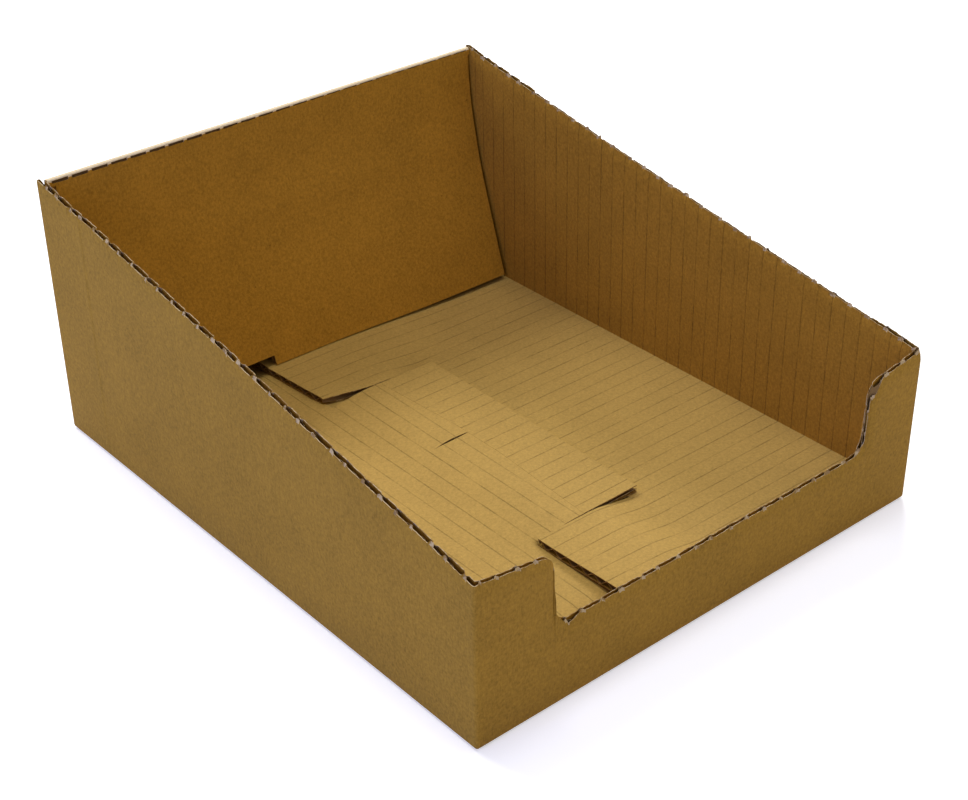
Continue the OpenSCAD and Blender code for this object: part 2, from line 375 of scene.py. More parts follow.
class NodeGraph:
    """Short hand for adding and wiring shader nodes in one tree."""

    ROW = 12
    SPREAD = (180, -220)
    # sockets of a colour Mix node: factor, first and second colour, and its colour result
    MIX_INPUTS = (0, 6, 7)
    MIX_RESULT = 2

    def __init__(self, tree: bpy.types.NodeTree) -> None:
        """Keeps the tree that is filled."""
        self.tree = tree
        self.count = 0

    def add(self, kind: str, **settings: object) -> Node:
        """Adds a node and sets its properties.

        Args:
            kind: Blender's name of the node type.
            settings: Properties of the node.

        Returns:
            The node.
        """
        node = self.tree.nodes.new(kind)
        down, right = divmod(self.count, self.ROW)
        node.location = (self.SPREAD[0] * right, self.SPREAD[1] * down)
        self.count += 1
        for key, value in settings.items():
            setattr(node, key, value)
        return node

    def join(self, targets: Iterable[Socket], values: Iterable[object]) -> None:
        """Links a socket into each input, or sets the input to a plain value.

        Args:
            targets: The inputs.
            values: What each one gets: an output socket, a number or a colour.
        """
        for target, value in zip(targets, values):
            if isinstance(value, Socket):
                self.tree.links.new(value, target)
            else:
                target.default_value = value

    def put(self, node: Node, *values: object, **named: object) -> Node:
        """Fills inputs of a node.

        Args:
            node: The node that receives.
            values: What goes into its first inputs, in order.
            named: What goes into other inputs, by their name with _ for each space.

        Returns:
            The same node.
        """
        self.join(node.inputs, values)
        self.join([node.inputs[name.replace("_", " ")] for name in named], named.values())
        return node

    def math(self, operation: str, *values: object) -> Socket:
        """Adds a Math node with its inputs in order, and returns its result."""
        return self.put(self.add("ShaderNodeMath", operation=operation), *values).outputs[0]

    def stretch(self, vector: Socket, factors: Triple) -> Socket:
        """Multiplies a vector by a factor on each axis."""
        node = self.add("ShaderNodeVectorMath", operation="MULTIPLY")
        return self.put(node, vector, factors).outputs[0]

    def noise(self, vector: Socket, scale: object, detail: float, rough: float) -> Socket:
        """Adds a noise texture with its scale per metre, and returns its value, about 0.5."""
        node = self.add("ShaderNodeTexNoise")
        return self.put(node, vector, Scale=scale, Detail=detail, Roughness=rough).outputs["Fac"]

    def mix(self, amount: object, a: object, b: object, blend: str = "MIX") -> Socket:
        """Mixes two colours.

        Args:
            amount: How much of the second.
            a: First colour.
            b: Second colour.
            blend: How they mix.

        Returns:
            The mixed colour.
        """
        node = self.add("ShaderNodeMix", data_type="RGBA", blend_type=blend)
        self.join([node.inputs[k] for k in self.MIX_INPUTS], (amount, a, b))
        return node.outputs[self.MIX_RESULT]

    def span(
        self, value: object, low: float, high: float, new_low: float = 0.0, new_high: float = 1.0
    ) -> Socket:
        """Maps the range from low to high smoothly onto the new one, and clamps it."""
        node = self.add("ShaderNodeMapRange", interpolation_type="SMOOTHSTEP")
        return self.put(node, value, low, high, new_low, new_high).outputs["Result"]

    def seen(self) -> Socket:
        """Adds the test of whether a surface is seen straight, in a reflection or through glass.

        Returns:
            The result: 1 where it is seen, and 0 where it only lights other things.
        """
        path = self.add("ShaderNodeLightPath")
        seen = self.math("MAXIMUM", path.outputs["Is Camera Ray"], path.outputs["Is Glossy Ray"])
        return self.math("MAXIMUM", seen, path.outputs["Is Transmission Ray"])


def new_group(
    name: str, inputs: dict[str, float | None], outputs: tuple[str, ...]
) -> tuple[NodeGraph, bpy.types.NodeInputs, Node]:
    """Starts a shader node group with named sockets.

    Args:
        name: Name of the group.
        inputs: Default of each input, or None for a vector.
        outputs: Names of its outputs, each a value.

    Returns:
        The graph, the sockets that bring in what is given, and the group's output node.
    """
    tree = bpy.data.node_groups.new(name, "ShaderNodeTree")
    for label, default in inputs.items():
        kind = "NodeSocketVector" if default is None else "NodeSocketFloat"
        socket = tree.interface.new_socket(label, in_out="INPUT", socket_type=kind)
        if default is not None:
            socket.default_value = default
    for label in outputs:
        tree.interface.new_socket(label, in_out="OUTPUT", socket_type="NodeSocketFloat")
    graph = NodeGraph(tree)
    return graph, graph.add("NodeGroupInput").outputs, graph.add("NodeGroupOutput")


def fibre_group() -> bpy.types.NodeTree:
    """Paper fibre: fine specks, short streaks and broad clouds.

    Returns:
        A group with a tone, from -1 to 1, a height, from 0 to 1, and a mask of rare dark specks.
    """
    streak_share, cloud_share, contrast = 0.3, 0.16, 5.0
    streak_size, streak_shape = 2600.0, (1.0, 1.0, 0.16)
    speck_size, speck_from, speck_full = 620.0, 0.79, 0.83
    graph, given, result = new_group(
        "paper_fibre",
        {"Place": None, "Cloud Size": 45.0, "Fleck Size": 900.0},
        ("Tone", "Height", "Specks"),
    )
    cloud = graph.noise(given["Place"], given["Cloud Size"], 3.0, 0.55)
    fleck = graph.noise(given["Place"], given["Fleck Size"], 4.0, 0.7)
    streak = graph.noise(graph.stretch(given["Place"], streak_shape), streak_size, 2.0, 0.6)
    fine = graph.math("MULTIPLY", fleck, 1 - streak_share)
    fine = graph.math("MULTIPLY_ADD", streak, streak_share, fine)
    tone = graph.math("MULTIPLY", cloud, cloud_share)
    tone = graph.math("MULTIPLY_ADD", fine, 1 - cloud_share, tone)
    tone = graph.math("MULTIPLY", graph.math("SUBTRACT", tone, 0.5), contrast)
    specks = graph.span(graph.noise(given["Place"], speck_size, 1.0, 0.4), speck_from, speck_full)
    graph.put(result, Tone=tone, Height=fine, Specks=specks)
    return graph.tree


def flute_group() -> bpy.types.NodeTree:
    """Flute lines: a narrow broken line over each flute tip, and the shallow wash between them.

    Returns:
        A group with a line mask, from 0 to 1, and a height, from 0 to 1.
    """
    drift_shape, drift_share = (60.0, 12.0, 1.0), 0.12
    break_shape, break_edge, faintest = (150.0, 70.0, 1.0), 0.12, 0.35
    graph, given, result = new_group(
        "flute_lines",
        {"Flutes": None, "Pitch": BOARD.pitch, "Line": 0.06, "Breaks": 0.47},
        ("Line", "Height"),
    )
    split = graph.put(graph.add("ShaderNodeSeparateXYZ"), given["Flutes"])
    turns = graph.math("DIVIDE", split.outputs[0], given["Pitch"])
    drift = graph.noise(graph.stretch(given["Flutes"], drift_shape), 1.0, 2.0, 0.5)
    turns = graph.math("MULTIPLY_ADD", graph.math("SUBTRACT", drift, 0.5), drift_share, turns)
    phase = graph.math("ABSOLUTE", graph.math("SUBTRACT", graph.math("FRACT", turns), 0.5))
    line = graph.math("SUBTRACT", 1.0, graph.math("DIVIDE", phase, given["Line"]))
    line = graph.math("MAXIMUM", line, 0.0)
    broken = graph.noise(graph.stretch(given["Flutes"], break_shape), 1.0, 3.0, 0.6)
    broken = graph.math("SUBTRACT", broken, given["Breaks"])
    broken = graph.span(broken, -break_edge, break_edge, faintest, 1.0)
    wash = graph.math("COSINE", graph.math("MULTIPLY", turns, 2 * np.pi))
    wash = graph.math("MULTIPLY_ADD", wash, 0.5, 0.5)
    graph.put(result, Line=graph.math("MULTIPLY", line, broken), Height=wash)
    return graph.tree


@dataclass
class ShaderGroups:
    """The effects that the finishes share."""

    fibre: bpy.types.NodeTree = field(default_factory=fibre_group)
    flutes: bpy.types.NodeTree = field(default_factory=flute_group)


# ---------------------------------------------------------------- finishes


class Surface:
    """A new material with its graph, for a matte surface with fine relief."""

    SPECULAR = 0.1

    def __init__(self, name: str) -> None:
        """Starts the material, and keeps its graph, its shader and its output.

        Args:
            name: Name of the material.
        """
        self.material = bpy.data.materials.new(name)
        self.material.use_nodes = True
        nodes = self.material.node_tree.nodes
        self.graph = NodeGraph(self.material.node_tree)
        self.shader, self.result = nodes["Principled BSDF"], nodes["Material Output"]

    def effect(self, group: bpy.types.NodeTree, **inputs: object) -> bpy.types.NodeOutputs:
        """Adds a group of effects with its inputs, and returns its results."""
        node = self.graph.add("ShaderNodeGroup", node_tree=group)
        return self.graph.put(node, **inputs).outputs

    def dress(self, colour: object, roughness: float, height: object, depth: float) -> Material:
        """Feeds the shader.

        Args:
            colour: Base colour.
            roughness: Roughness.
            height: Relief, as a height.
            depth: Metres for a height of 1.

        Returns:
            The material.
        """
        rise = self.graph.add("ShaderNodeBump")
        self.graph.put(rise, Strength=1.0, Distance=depth, Height=height)
        self.graph.put(
            self.shader, Base_Color=colour, Roughness=roughness,
            Specular_IOR_Level=self.SPECULAR, Normal=rise.outputs["Normal"],
        )
        return self.material


@dataclass(frozen=True)
class LinerFinish:
    """Finish of a liner sheet.

    Attributes:
        name: Name of the material.
        colour: Base colour, linear.
        mottle: Strength of the paper's uneven tone.
        line: How dark the flute lines are.
        line_width: Width of a flute line as a share of the pitch.
        wash: Depth of the shallow waves between the flutes.
        speck: How dark the specks are.
        roughness: Roughness of the paper.
        grain: Depth of the paper's grain.
        groove: Depth of a flute line that is fully dark.
    """

    name: str
    colour: Triple
    mottle: float = 0.38
    line: float = 0.0
    line_width: float = 0.06
    wash: float = 0.0
    speck: float = 0.3
    roughness: float = 0.72
    grain: float = 0.05 * MM
    groove: float = 0.25 * MM

    def make(self, groups: ShaderGroups) -> Material:
        """Builds the material.

        Args:
            groups: The shared effects.

        Returns:
            The material.
        """
        surface = Surface(self.name)
        graph = surface.graph
        place = graph.add("ShaderNodeTexCoord").outputs
        fibre = surface.effect(groups.fibre, Place=place["Object"])
        flutes = surface.effect(groups.flutes, Flutes=place["UV"], Line=self.line_width)
        bright = graph.math("MULTIPLY_ADD", fibre["Tone"], self.mottle, 1.0)
        bright = graph.math("MULTIPLY_ADD", flutes["Line"], -self.line, bright)
        bright = graph.math("MULTIPLY_ADD", fibre["Specks"], -self.speck, bright)
        tone = graph.put(graph.add("ShaderNodeCombineXYZ"), bright, bright, bright)
        base = graph.mix(1.0, (*self.colour, 1.0), tone.outputs[0], "MULTIPLY")
        height = graph.math("MULTIPLY", fibre["Height"], self.grain)
        height = graph.math("MULTIPLY_ADD", flutes["Height"], self.wash, height)
        height = graph.math("MULTIPLY_ADD", flutes["Line"], -self.line * self.groove, height)
        return surface.dress(base, self.roughness, height, 1.0)


@dataclass(frozen=True)
class TornFinish:
    """Finish of a cut or torn edge, where the fibres show.

    Attributes:
        name: Name of the material.
        dark: Colour of the dark fibres, linear.
        pale: Colour of the torn pale fibres, linear.
        share: How much of the edge is pale, from 0 to 1.
        patch: How fine the pale patches are, per metre.
        threshold: Value of the noise where a patch starts if the share is 0.
        reach: How far the threshold drops if the share is 1.
        blend: How softly a patch starts.
        roughness: Roughness of the fibres.
        grain: Depth of the fibres.
    """

    name: str
    dark: Triple
    pale: Triple
    share: float
    patch: float = 420.0
    threshold: float = 0.62
    reach: float = 0.3
    blend: float = 0.1
    roughness: float = 0.9
    grain: float = 0.15 * MM

    def make(self, groups: ShaderGroups) -> Material:
        """Builds the material.

        Args:
            groups: The shared effects.

        Returns:
            The material.
        """
        surface = Surface(self.name)
        graph = surface.graph
        place = graph.add("ShaderNodeTexCoord").outputs["Object"]
        fibre = surface.effect(groups.fibre, Place=place)
        start = self.threshold - self.reach * self.share
        patch = graph.noise(place, self.patch, 3.0, 0.6)
        amount = graph.span(patch, start, start + self.blend)
        base = graph.mix(amount, (*self.dark, 1.0), (*self.pale, 1.0))
        return surface.dress(base, self.roughness, fibre["Height"], self.grain)


class Palette:
    """All finishes of the box."""

    def __init__(self) -> None:
        """Makes the materials."""
        groups = ShaderGroups()
        wash = 0.02 * MM
        self.outside = LinerFinish(
            "liner_outside", (0.323, 0.178, 0.024), line=0.03, line_width=0.1
        ).make(groups)
        self.inside = LinerFinish(
            "liner_inside", (0.445, 0.282, 0.073), mottle=0.25, line=0.4, wash=wash
        ).make(groups)
        # Painted shade: the walls' inner faces take a darker, more orange copy of the inside liner,
        # for the shade and the light bounced off brown board that fall there.
        self.wall_inside_painted_shade = LinerFinish(
            "liner_wall_inside_painted_shade", (0.361, 0.182, 0.020), line=0.4, wash=wash
        ).make(groups)
        # Painted light: the back flap's face takes a brighter, more orange copy of the outside
        # liner, for the warm light bounced onto it.
        self.flap_face_painted_light = LinerFinish(
            "liner_flap_painted_light", (0.405, 0.203, 0.021), mottle=0.4, line=0.02, line_width=0.1
        ).make(groups)
        # Painted highlight: the fold's pale outer sheet stands in for the light that catches the
        # fold's rounded top from behind.
        self.crease = LinerFinish(
            "liner_crease_painted_highlight", (0.72, 0.58, 0.36), mottle=0.2, speck=0.2
        ).make(groups)
        # Painted shade: the fold's inner sheet stands for the crushed medium, and its dark colour
        # stands in for the shade in and behind the slits.
        self.core = LinerFinish("crushed_medium_painted_shade", (0.11, 0.062, 0.022)).make(groups)
        self.medium = LinerFinish("fluting", (0.20, 0.12, 0.045), mottle=0.12).make(groups)
        self.cut_edge = TornFinish(
            "cut_edge", (0.26, 0.16, 0.065), (0.46, 0.33, 0.16), share=0.35
        ).make(groups)
        self.torn_edge = TornFinish(
            "torn_edge", (0.30, 0.19, 0.08), (0.50, 0.375, 0.21), share=0.6
        ).make(groups)

    def liner(self, layer: Layer) -> Material:
        """Finish of one sheet of the board."""
        sheets = {Layer.OUTER: self.outside, Layer.INNER: self.inside, Layer.MEDIUM: self.medium}
        return sheets[layer]


# ---------------------------------------------------------------- walls


class Side(IntEnum):
    """The four walls, anticlockwise seen from above."""

    FRONT = 0
    RIGHT = 1
    BACK = 2
    LEFT = 3


@dataclass(frozen=True)
class TornEdge:
    """How one sheet's torn top edge looks.

    Attributes:
        seed: Seed of its noise.
        nub: Height of the torn paper at a tie.
        sink: How far the edge lies under the wall's top.
    """

    seed: int
    nub: float
    sink: float


@dataclass(frozen=True)
class Peel:
    """A place on the front wall where the outer liner has peeled off under the edge.

    Attributes:
        x: Its middle.
        reach: Half its width.
        depth: How far down it goes.
        rough: How uneven its lower edge is.
        step: How fine the unevenness is.
        seed: Seed of the noise.
    """

    x: float
    reach: float
    depth: float
    rough: float
    step: float
    seed: int

    def drop(self, x: Array) -> Array:
        """How far the edge lies lower at each place: a round bump with an uneven depth."""
        depth = self.depth + self.rough * wobble(x, self.step, self.seed)
        return bump(x, self.x, self.reach) * depth


@dataclass(frozen=True)
class Columns:
    """Columns of the walls' grid, with one value each.

    Attributes:
        side: Which wall.
        q: Share of the wall, from -1 to 1.
        corner: Share of the corner that follows the wall, from 0 to 1, or -1 on the wall.
        top: Height of the top edge.
        edge: Distance along the top edge.
    """

    side: Index
    q: Array
    corner: Array
    top: Array
    edge: Array


@dataclass
class Walls:
    """The four walls: one closed strip of board folded at four corners."""

    palette: Palette
    half_w: float
    half_d: float
    back_h: float
    fold_z: float  # height of the back wall's fold
    front_h: float = 61 * MM  # at the front corners
    right_dip: float = 0.4 * MM  # how much lower the front's right end is
    lip_h: float = 30 * MM
    shoulder_h: float = 57.6 * MM
    shoulder_r: float = 6 * MM
    lead: float = 7.8 * MM  # from a drop of the opening to where its shoulder starts
    lead_up: float = 0.2 * MM
    open_left: float = 68.4 * MM  # from the middle to the opening's sides
    open_right: float = 73.8 * MM
    open_r: float = 7.5 * MM
    tilt: float = 0.3 * MM  # lean of the opening's sides
    fold_r: float = 1.2 * MM  # outside radius of the upright folds
    least_r: float = 0.25 * MM  # radius of the innermost face there
    bottom_r: float = 1.5 * MM
    step: float = 0.42 * MM  # width of a column
    inset: float = 0.25 * MM  # the outer face lies this far inside the CAD's
    true_share: float = 0.9  # share of a wall whose columns keep their true place
    sag: tuple[float, ...] = (0.5 * MM, 0.9 * MM, 0.0, 0.7 * MM)  # at the top middle of each wall
    pinch: tuple[float, ...] = (0.42, 0.32, 0.0, 0.2)  # of the torn edge, on each wall
    pinch_reach: float = 4.5 * MM
    tie_pinch: float = 0.7
    tie_pinch_spread: float = 0.25
    tie_reach: float = 1.6 * MM
    tie_drift: float = 0.12  # how far ties stray, as a share of the perforation
    tie_spread: float = 0.45  # how much their width varies
    tie_shift: float = 0.9 * MM  # how far they move on from wall to wall
    tie_soft: Range = (0.4, 0.8)  # shares of a tie's width over which it ends
    nub_least: float = 0.7  # height of a tie's nub, how much that varies, and its shreds
    nub_spread: float = 0.8
    shred: float = 0.5
    shred_step: float = 0.3 * MM
    tie_hold: float = 0.9  # share of its sink that the medium's edge stays up at a tie
    grain: float = 0.12 * MM  # unevenness of the cut edge, at two sizes
    grain_steps: Range = (0.7 * MM, 2.6 * MM)
    worn_sink: float = 0.9 * MM  # the right wall's outer sheets are worn down between the two
    worn_front: Range = (-108 * MM, -90 * MM)
    worn_back: Range = (68 * MM, 84 * MM)
    crease_out: float = 2.1 * MM  # thickness of the pressed board at the back fold
    crease_reach: float = 6 * MM
    crease_end: float = 0.2 * MM  # distance from a corner where the fold starts
    fold_full: float = 2.5 * MM  # and where the wall's top is all the way down at it
    crease_full: float = 3 * MM  # and where the board is fully pressed
    tab_width: float = 28 * MM
    tab_step: float = 0.17 * MM  # how far the left wall moves in just before the tab
    tab_soft: Range = (0.7 * MM, 0.5 * MM)  # length of the step before and after the tab's end
    tab_fade: float = 10 * MM  # from the wall's middle, where the step starts to show
    tab_rise: Range = (4 * MM, 14 * MM)  # heights between which the step grows
    edge_zone: float = 6 * MM  # height of the finer rows under the torn edge
    corner_scale: float = 0.11  # turns a share of a wall into a distance from its corner
    corner_wave: float = 0.2  # share of the flutes' height that is left in a corner
    wave_side: Range = (0.5 * MM, 4 * MM)  # where the flutes grow to full height
    wave_low: Range = (3 * MM, 7 * MM)

    EDGES = {
        Layer.OUTER: TornEdge(1, 0.6 * MM, 0.0),
        Layer.MEDIUM: TornEdge(2, 0.3 * MM, 1.7 * MM),
        Layer.INNER: TornEdge(3, 0.6 * MM, 0.1 * MM),
    }
    ROWS_BELOW_EDGE = (4.2 * MM, 2.9 * MM, 1.8 * MM, 1.0 * MM, 0.5 * MM, 0.0)
    BODY_ROWS = 6
    ROLL_ROWS = 5
    TURN_POINTS = 24
    CORNER_LINES = 8
    TIE_NUMBERS = 97.0  # from one wall's ties to the next wall's
    STRAY_SEED, WIDTH_SEED, PINCH_SEED = 8, 9, 12
    NUB_SEED, SHRED_SEED, GRAIN_SEED, GRAIN_NEXT = 10, 20, 30, 10
    TINT_FROM = 0.5  # where a tie counts as torn paper
    TINT_ROWS = 2

    def _front_profile(self) -> tuple[Array, Array]:
        """Top edge of the front wall: slope, round shoulder, drop, round corner, lip, and back up.

        Returns:
            Distance along the front, from left to right, and height, evenly spaced along the edge.
        """
        turn = np.linspace(0, np.pi / 2, self.TURN_POINTS)
        sine, cosine = np.sin(turn), np.cos(turn)
        left, right = -self.open_left, self.open_right
        shoulder, corner = self.shoulder_r - self.tilt, self.open_r - self.tilt
        shoulder_z = self.shoulder_h - self.shoulder_r
        lead_z = self.shoulder_h + self.lead_up
        x = np.concatenate([
            [-self.half_w, left - self.lead],
            left - self.shoulder_r + shoulder * sine,
            left + self.tilt + corner * (1 - cosine),
            right - self.tilt - corner * (1 - sine),
            right + self.shoulder_r - shoulder * cosine,
            [right + self.lead, self.half_w],
        ])
        z = np.concatenate([
            [self.front_h, lead_z],
            shoulder_z + self.shoulder_r * cosine,
            self.lip_h + self.open_r * (1 - sine),
            self.lip_h + self.open_r * (1 - cosine),
            shoulder_z + self.shoulder_r * sine,
            [lead_z, self.front_h - self.right_dip],
        ])
        run = running_length(x, z)
        even = spaced(0, run[-1], self.step)
        return np.interp(even, run, x), np.interp(even, run, z)

    def _columns(self) -> Columns:
        """Lists the grid's columns round the box: each wall's, and then its corner's.

        Returns:
            The columns.
        """
        front_x, front_z = self._front_profile()
        on_front = np.abs(front_x) < self.half_w - self.fold_r
        turn = np.linspace(0, 1, self.CORNER_LINES)[1:-1]
        corner_tops = (self.front_h, self.back_h, self.back_h, self.front_h)
        parts = []
        for side in Side:
            half = self.half_d if side % 2 else self.half_w
            q = spaced(-1, 1, self.step / half)
            y = {Side.RIGHT: q, Side.LEFT: -q}.get(side, np.ones_like(q)) * self.half_d
            slope = (self.back_h - self.front_h) / (2 * self.half_d)
            top = self.front_h + slope * (y + self.half_d)
            if side is Side.FRONT:
                q, top = front_x[on_front] / self.half_w, front_z[on_front]
            if side is Side.BACK:
                end = smooth((1 - np.abs(q)) * half, self.crease_end, self.fold_full)
                top = top * (1 - end) + self.fold_z * end
            edge = running_length(q * half, top)
            wall, ones = np.ones(len(q)), np.ones(len(turn))
            parts.append((side * wall, q, -wall, top, edge))
            parts.append((side * ones, ones, turn, corner_tops[side] * ones, edge[-1] * ones))
        side, q, corner, top, edge = (np.concatenate(part) for part in zip(*parts))
        return Columns(side.astype(int), q, corner, top, edge)

    def _place(self, cols: Columns, depth: Array, height: Array, shift: Array) -> Array:
        """Finds points from their column, depth below the outer face, and height.

        A wall runs straight between its corners, and a corner is an arc whose radius
        shrinks with depth.

        Args:
            cols: The columns.
            depth: Distance in from the outer face, columns x rows.
            height: Height, columns x rows.
            shift: Sideways move along the wall, columns x rows.

        Returns:
            The points, columns x rows x 3.
        """
        depth = depth + self.inset
        q, corner, side = cols.q[:, None], cols.corner[:, None], cols.side
        normals = np.array([[0, -1], [1, 0], [0, 1], [-1, 0]], float)
        normal, tangent = normals[side][:, None, :], normals[(side + 1) % 4][:, None, :]
        across = np.where(side % 2, self.half_w, self.half_d)[:, None]
        along = np.where(side % 2, self.half_d, self.half_w)[:, None]
        radius = np.maximum(self.fold_r + self.inset - depth, self.least_r)
        is_corner = corner >= 0
        angle = np.where(is_corner, corner, 0) * np.pi / 2
        out = across - depth - np.where(is_corner, radius * (1 - np.cos(angle)), 0.0)
        near_corner = np.clip((np.abs(q) - self.true_share) / (1 - self.true_share), 0, 1)
        on_wall = q * along - np.sign(q) * near_corner * (depth + radius)
        on_wall = on_wall + shift * (1 - near_corner)
        in_corner = along - depth - radius * (1 - np.sin(angle))
        aside = np.where(is_corner, in_corner, on_wall)
        plan = normal * out[..., None] + tangent * aside[..., None]
        return np.concatenate([plan, height[..., None]], 2)

    def _ties(self, cols: Columns) -> tuple[Array, Array]:
        """Finds the ties of the torn perforation, each a little wider or narrower than the next.

        Args:
            cols: The columns.

        Returns:
            A mask that is 1 on a tie, and the number of the nearest tie.
        """
        turn = (cols.edge + self.tie_shift * cols.side) / BOARD.perforation
        number = np.round(turn) + self.TIE_NUMBERS * cols.side
        stray = self.tie_drift * wobble(number, 1.0, self.STRAY_SEED)
        near = np.abs(turn - np.round(turn) + stray) * BOARD.perforation
        width = BOARD.tie * (1.0 + self.tie_spread * wobble(number, 1.0, self.WIDTH_SEED))
        return 1 - smooth(near / width, *self.tie_soft), number

    def _top_edge(self, cols: Columns, layer: Layer) -> Array:
        """Height of a layer's torn top edge.

        Between ties the edge is a clean cut. At a tie a short nub of torn paper stands up, higher
        on one layer than on another.

        Args:
            cols: The columns.
            layer: Which sheet.

        Returns:
            Height of the edge at each column.
        """
        look = self.EDGES[layer]
        tie, number = self._ties(cols)
        shreds = self.shred * wobble(cols.edge, self.shred_step, look.seed + self.SHRED_SEED)
        height = self.nub_least + self.nub_spread * wobble(number, 1.0, look.seed + self.NUB_SEED)
        ragged = tie * look.nub * (height + shreds)
        grain = sum(
            self.grain * wobble(cols.edge, step, look.seed + self.GRAIN_SEED + self.GRAIN_NEXT * k)
            for k, step in enumerate(self.grain_steps)
        )
        sink = look.sink * (1 - self.tie_hold * tie if layer is Layer.MEDIUM else 1.0)
        if layer is not Layer.INNER:
            y = cols.q * self.half_d
            worn = smooth(y, *self.worn_front) * (1 - smooth(y, *self.worn_back))
            sink = sink + np.where(cols.side == Side.RIGHT, self.worn_sink * worn, 0.0)
        torn = np.where(cols.side == Side.BACK, 0.0, 1.0)
        top = cols.top + torn * (ragged + grain) - sink
        if layer is Layer.OUTER:
            front = (cols.side == Side.FRONT) & (cols.corner < 0)
            peels = (
                Peel(x=self.open_right + 2.4 * MM, reach=4.2 * MM, depth=4.6 * MM,
                     rough=0.8 * MM, step=0.8 * MM, seed=41),
                Peel(x=6 * MM - self.open_left, reach=3.5 * MM, depth=1.4 * MM,
                     rough=0.4 * MM, step=0.6 * MM, seed=42),
            )
            top = top - front * sum(peel.drop(cols.q * self.half_w) for peel in peels)
        return np.minimum(top, self.back_h - CLEAR)

    def _squeeze(self, cols: Columns, top: Array, height: Array, level: Array) -> Array:
        """Presses the board together near its torn edge, where the perforation was cut.

        A face at height h above the board's inner face moves to h - s (h - c), where s falls
        from its full share at the edge to none further down, and c is the middle of the board.
        At a tie the torn board is pinched almost flat. On the back wall c is the inner face, so
        the crease lies in line with the flap.

        Args:
            cols: The columns.
            top: Height of the edge.
            height: Height of each point.
            level: Height of the face above the board's inner face.

        Returns:
            The new height of the face above the board's inner face.
        """
        on_wall = cols.corner < 0
        x = cols.q[:, None] * self.half_w
        below = top[:, None] - height
        beside = np.maximum(x - self.open_right, -self.open_left - x)
        above_lip = np.maximum(self.lip_h + self.open_r - height, 0)
        beside = np.hypot(beside, above_lip) * np.sign(beside)
        is_front = ((cols.side == Side.FRONT) & on_wall)[:, None] & (beside > 0)
        reach = np.where(is_front, np.minimum(below, beside), below)
        tie, number = self._ties(cols)
        spread = self.tie_pinch_spread * wobble(number, 1.0, self.PINCH_SEED)
        torn = tie * (self.tie_pinch + spread)
        pinch = np.array(self.pinch)[cols.side][:, None]
        share = pinch * (1 - smooth(reach, 0.0, self.pinch_reach))
        share = share + (1 - pinch) * torn[:, None] * (1 - smooth(reach, 0.0, self.tie_reach))
        from_corner = (1 - np.abs(cols.q)) * self.half_w
        on_fold = on_wall & (cols.side == Side.BACK)
        is_back = (on_fold * smooth(from_corner, self.crease_end, self.crease_full))[:, None]
        pressed = 1 - self.crease_out / BOARD.thickness
        crease = pressed * (1 - smooth(below, 0.0, self.crease_reach)) * is_back
        return level - share * (1 - is_back) * (level - BOARD.thickness / 2) - crease * level

    def _warp(self, cols: Columns, height: Array) -> Array:
        """Gentle inward sag of the walls, none at the corners and the bottom.

        The left wall has a faint step where the glued tab behind it ends.

        Args:
            cols: The columns.
            height: Height of each point.

        Returns:
            How far each point moves in.
        """
        q = cols.q[:, None]
        sag = (1 - q**2) * smooth(height, 0.0, self.back_h) * np.array(self.sag)[cols.side][:, None]
        y, tab = -q * self.half_d, self.half_d - self.tab_width
        before, after = self.tab_soft
        step = 1 - smooth(y, tab - before, tab + after)
        step = self.tab_step * step * smooth(y, self.tab_fade, tab)
        step = step * smooth(height, *self.tab_rise)
        moved = sag + np.where(cols.side[:, None] == Side.LEFT, step, 0.0)
        return np.where(cols.corner[:, None] >= 0, 0.0, moved)

    def build(self) -> list[Object]:
        """Makes the three sheets of the walls, and returns them."""
        cols = self._columns()
        return [self._layer(layer, cols) for layer in Layer]

    def _layer(self, layer: Layer, cols: Columns) -> Object:
        """Makes one sheet of the walls.

        Args:
            layer: Which sheet.
            cols: The columns.

        Returns:
            The piece.
        """
        top = self._top_edge(cols, layer)
        base, body_top = self.bottom_r, top[:, None] - self.edge_zone
        body = base + np.linspace(0, 1, self.BODY_ROWS) * (body_top - base)
        height = np.concatenate([body, top[:, None] - self.ROWS_BELOW_EDGE], 1)
        along = cols.q * np.where(cols.side % 2, self.half_d, self.half_w)
        from_corner = (1 - np.abs(cols.q)) * self.corner_scale
        grown = smooth(from_corner, *self.wave_side)
        whole = np.where(cols.corner >= 0, self.corner_wave, grown)
        across = np.repeat(along[:, None], height.shape[1], 1)
        crush = whole[:, None] * smooth(height, *self.wave_low)
        warp = self._warp(cols, height)
        faces = [
            self._place(
                cols, BOARD.thickness - self._squeeze(cols, top, height, level) + warp, height, move
            )
            for level, move in layer_faces(layer, across, crush)
        ]
        uv = np.stack([across, height], 2)
        if layer is Layer.OUTER:
            rolls = [self._roll(cols, radius) for radius in (base, base - BOARD.liner)]
            faces = [np.concatenate(pair, 1) for pair in zip(rolls, faces)]
            curled = rolls[0][..., 2]
            across = np.repeat(along[:, None], curled.shape[1], 1)
            uv = np.concatenate([np.stack([across, curled], 2), uv], 1)
        rows = faces[0].shape[1] - 1
        torn = (self._ties(cols)[0] > self.TINT_FROM) & (cols.side != Side.BACK)
        torn = torn & (layer is not Layer.MEDIUM)
        tint = torn[:, None] & (np.arange(rows) >= rows - self.TINT_ROWS)
        sheet = Sheet(f"walls_{layer.value}", *faces, uv, closed=True, tint=tint)
        # The inner sheet of the walls takes the darker copy of the inside liner: painted shade.
        face = self.palette.wall_inside_painted_shade if layer is Layer.INNER else self.palette.liner(layer)
        edge = self.palette.cut_edge if layer is Layer.MEDIUM else self.palette.torn_edge
        piece = sheet.build([face, edge, self.palette.torn_edge])
        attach(piece, "tray")
        return piece

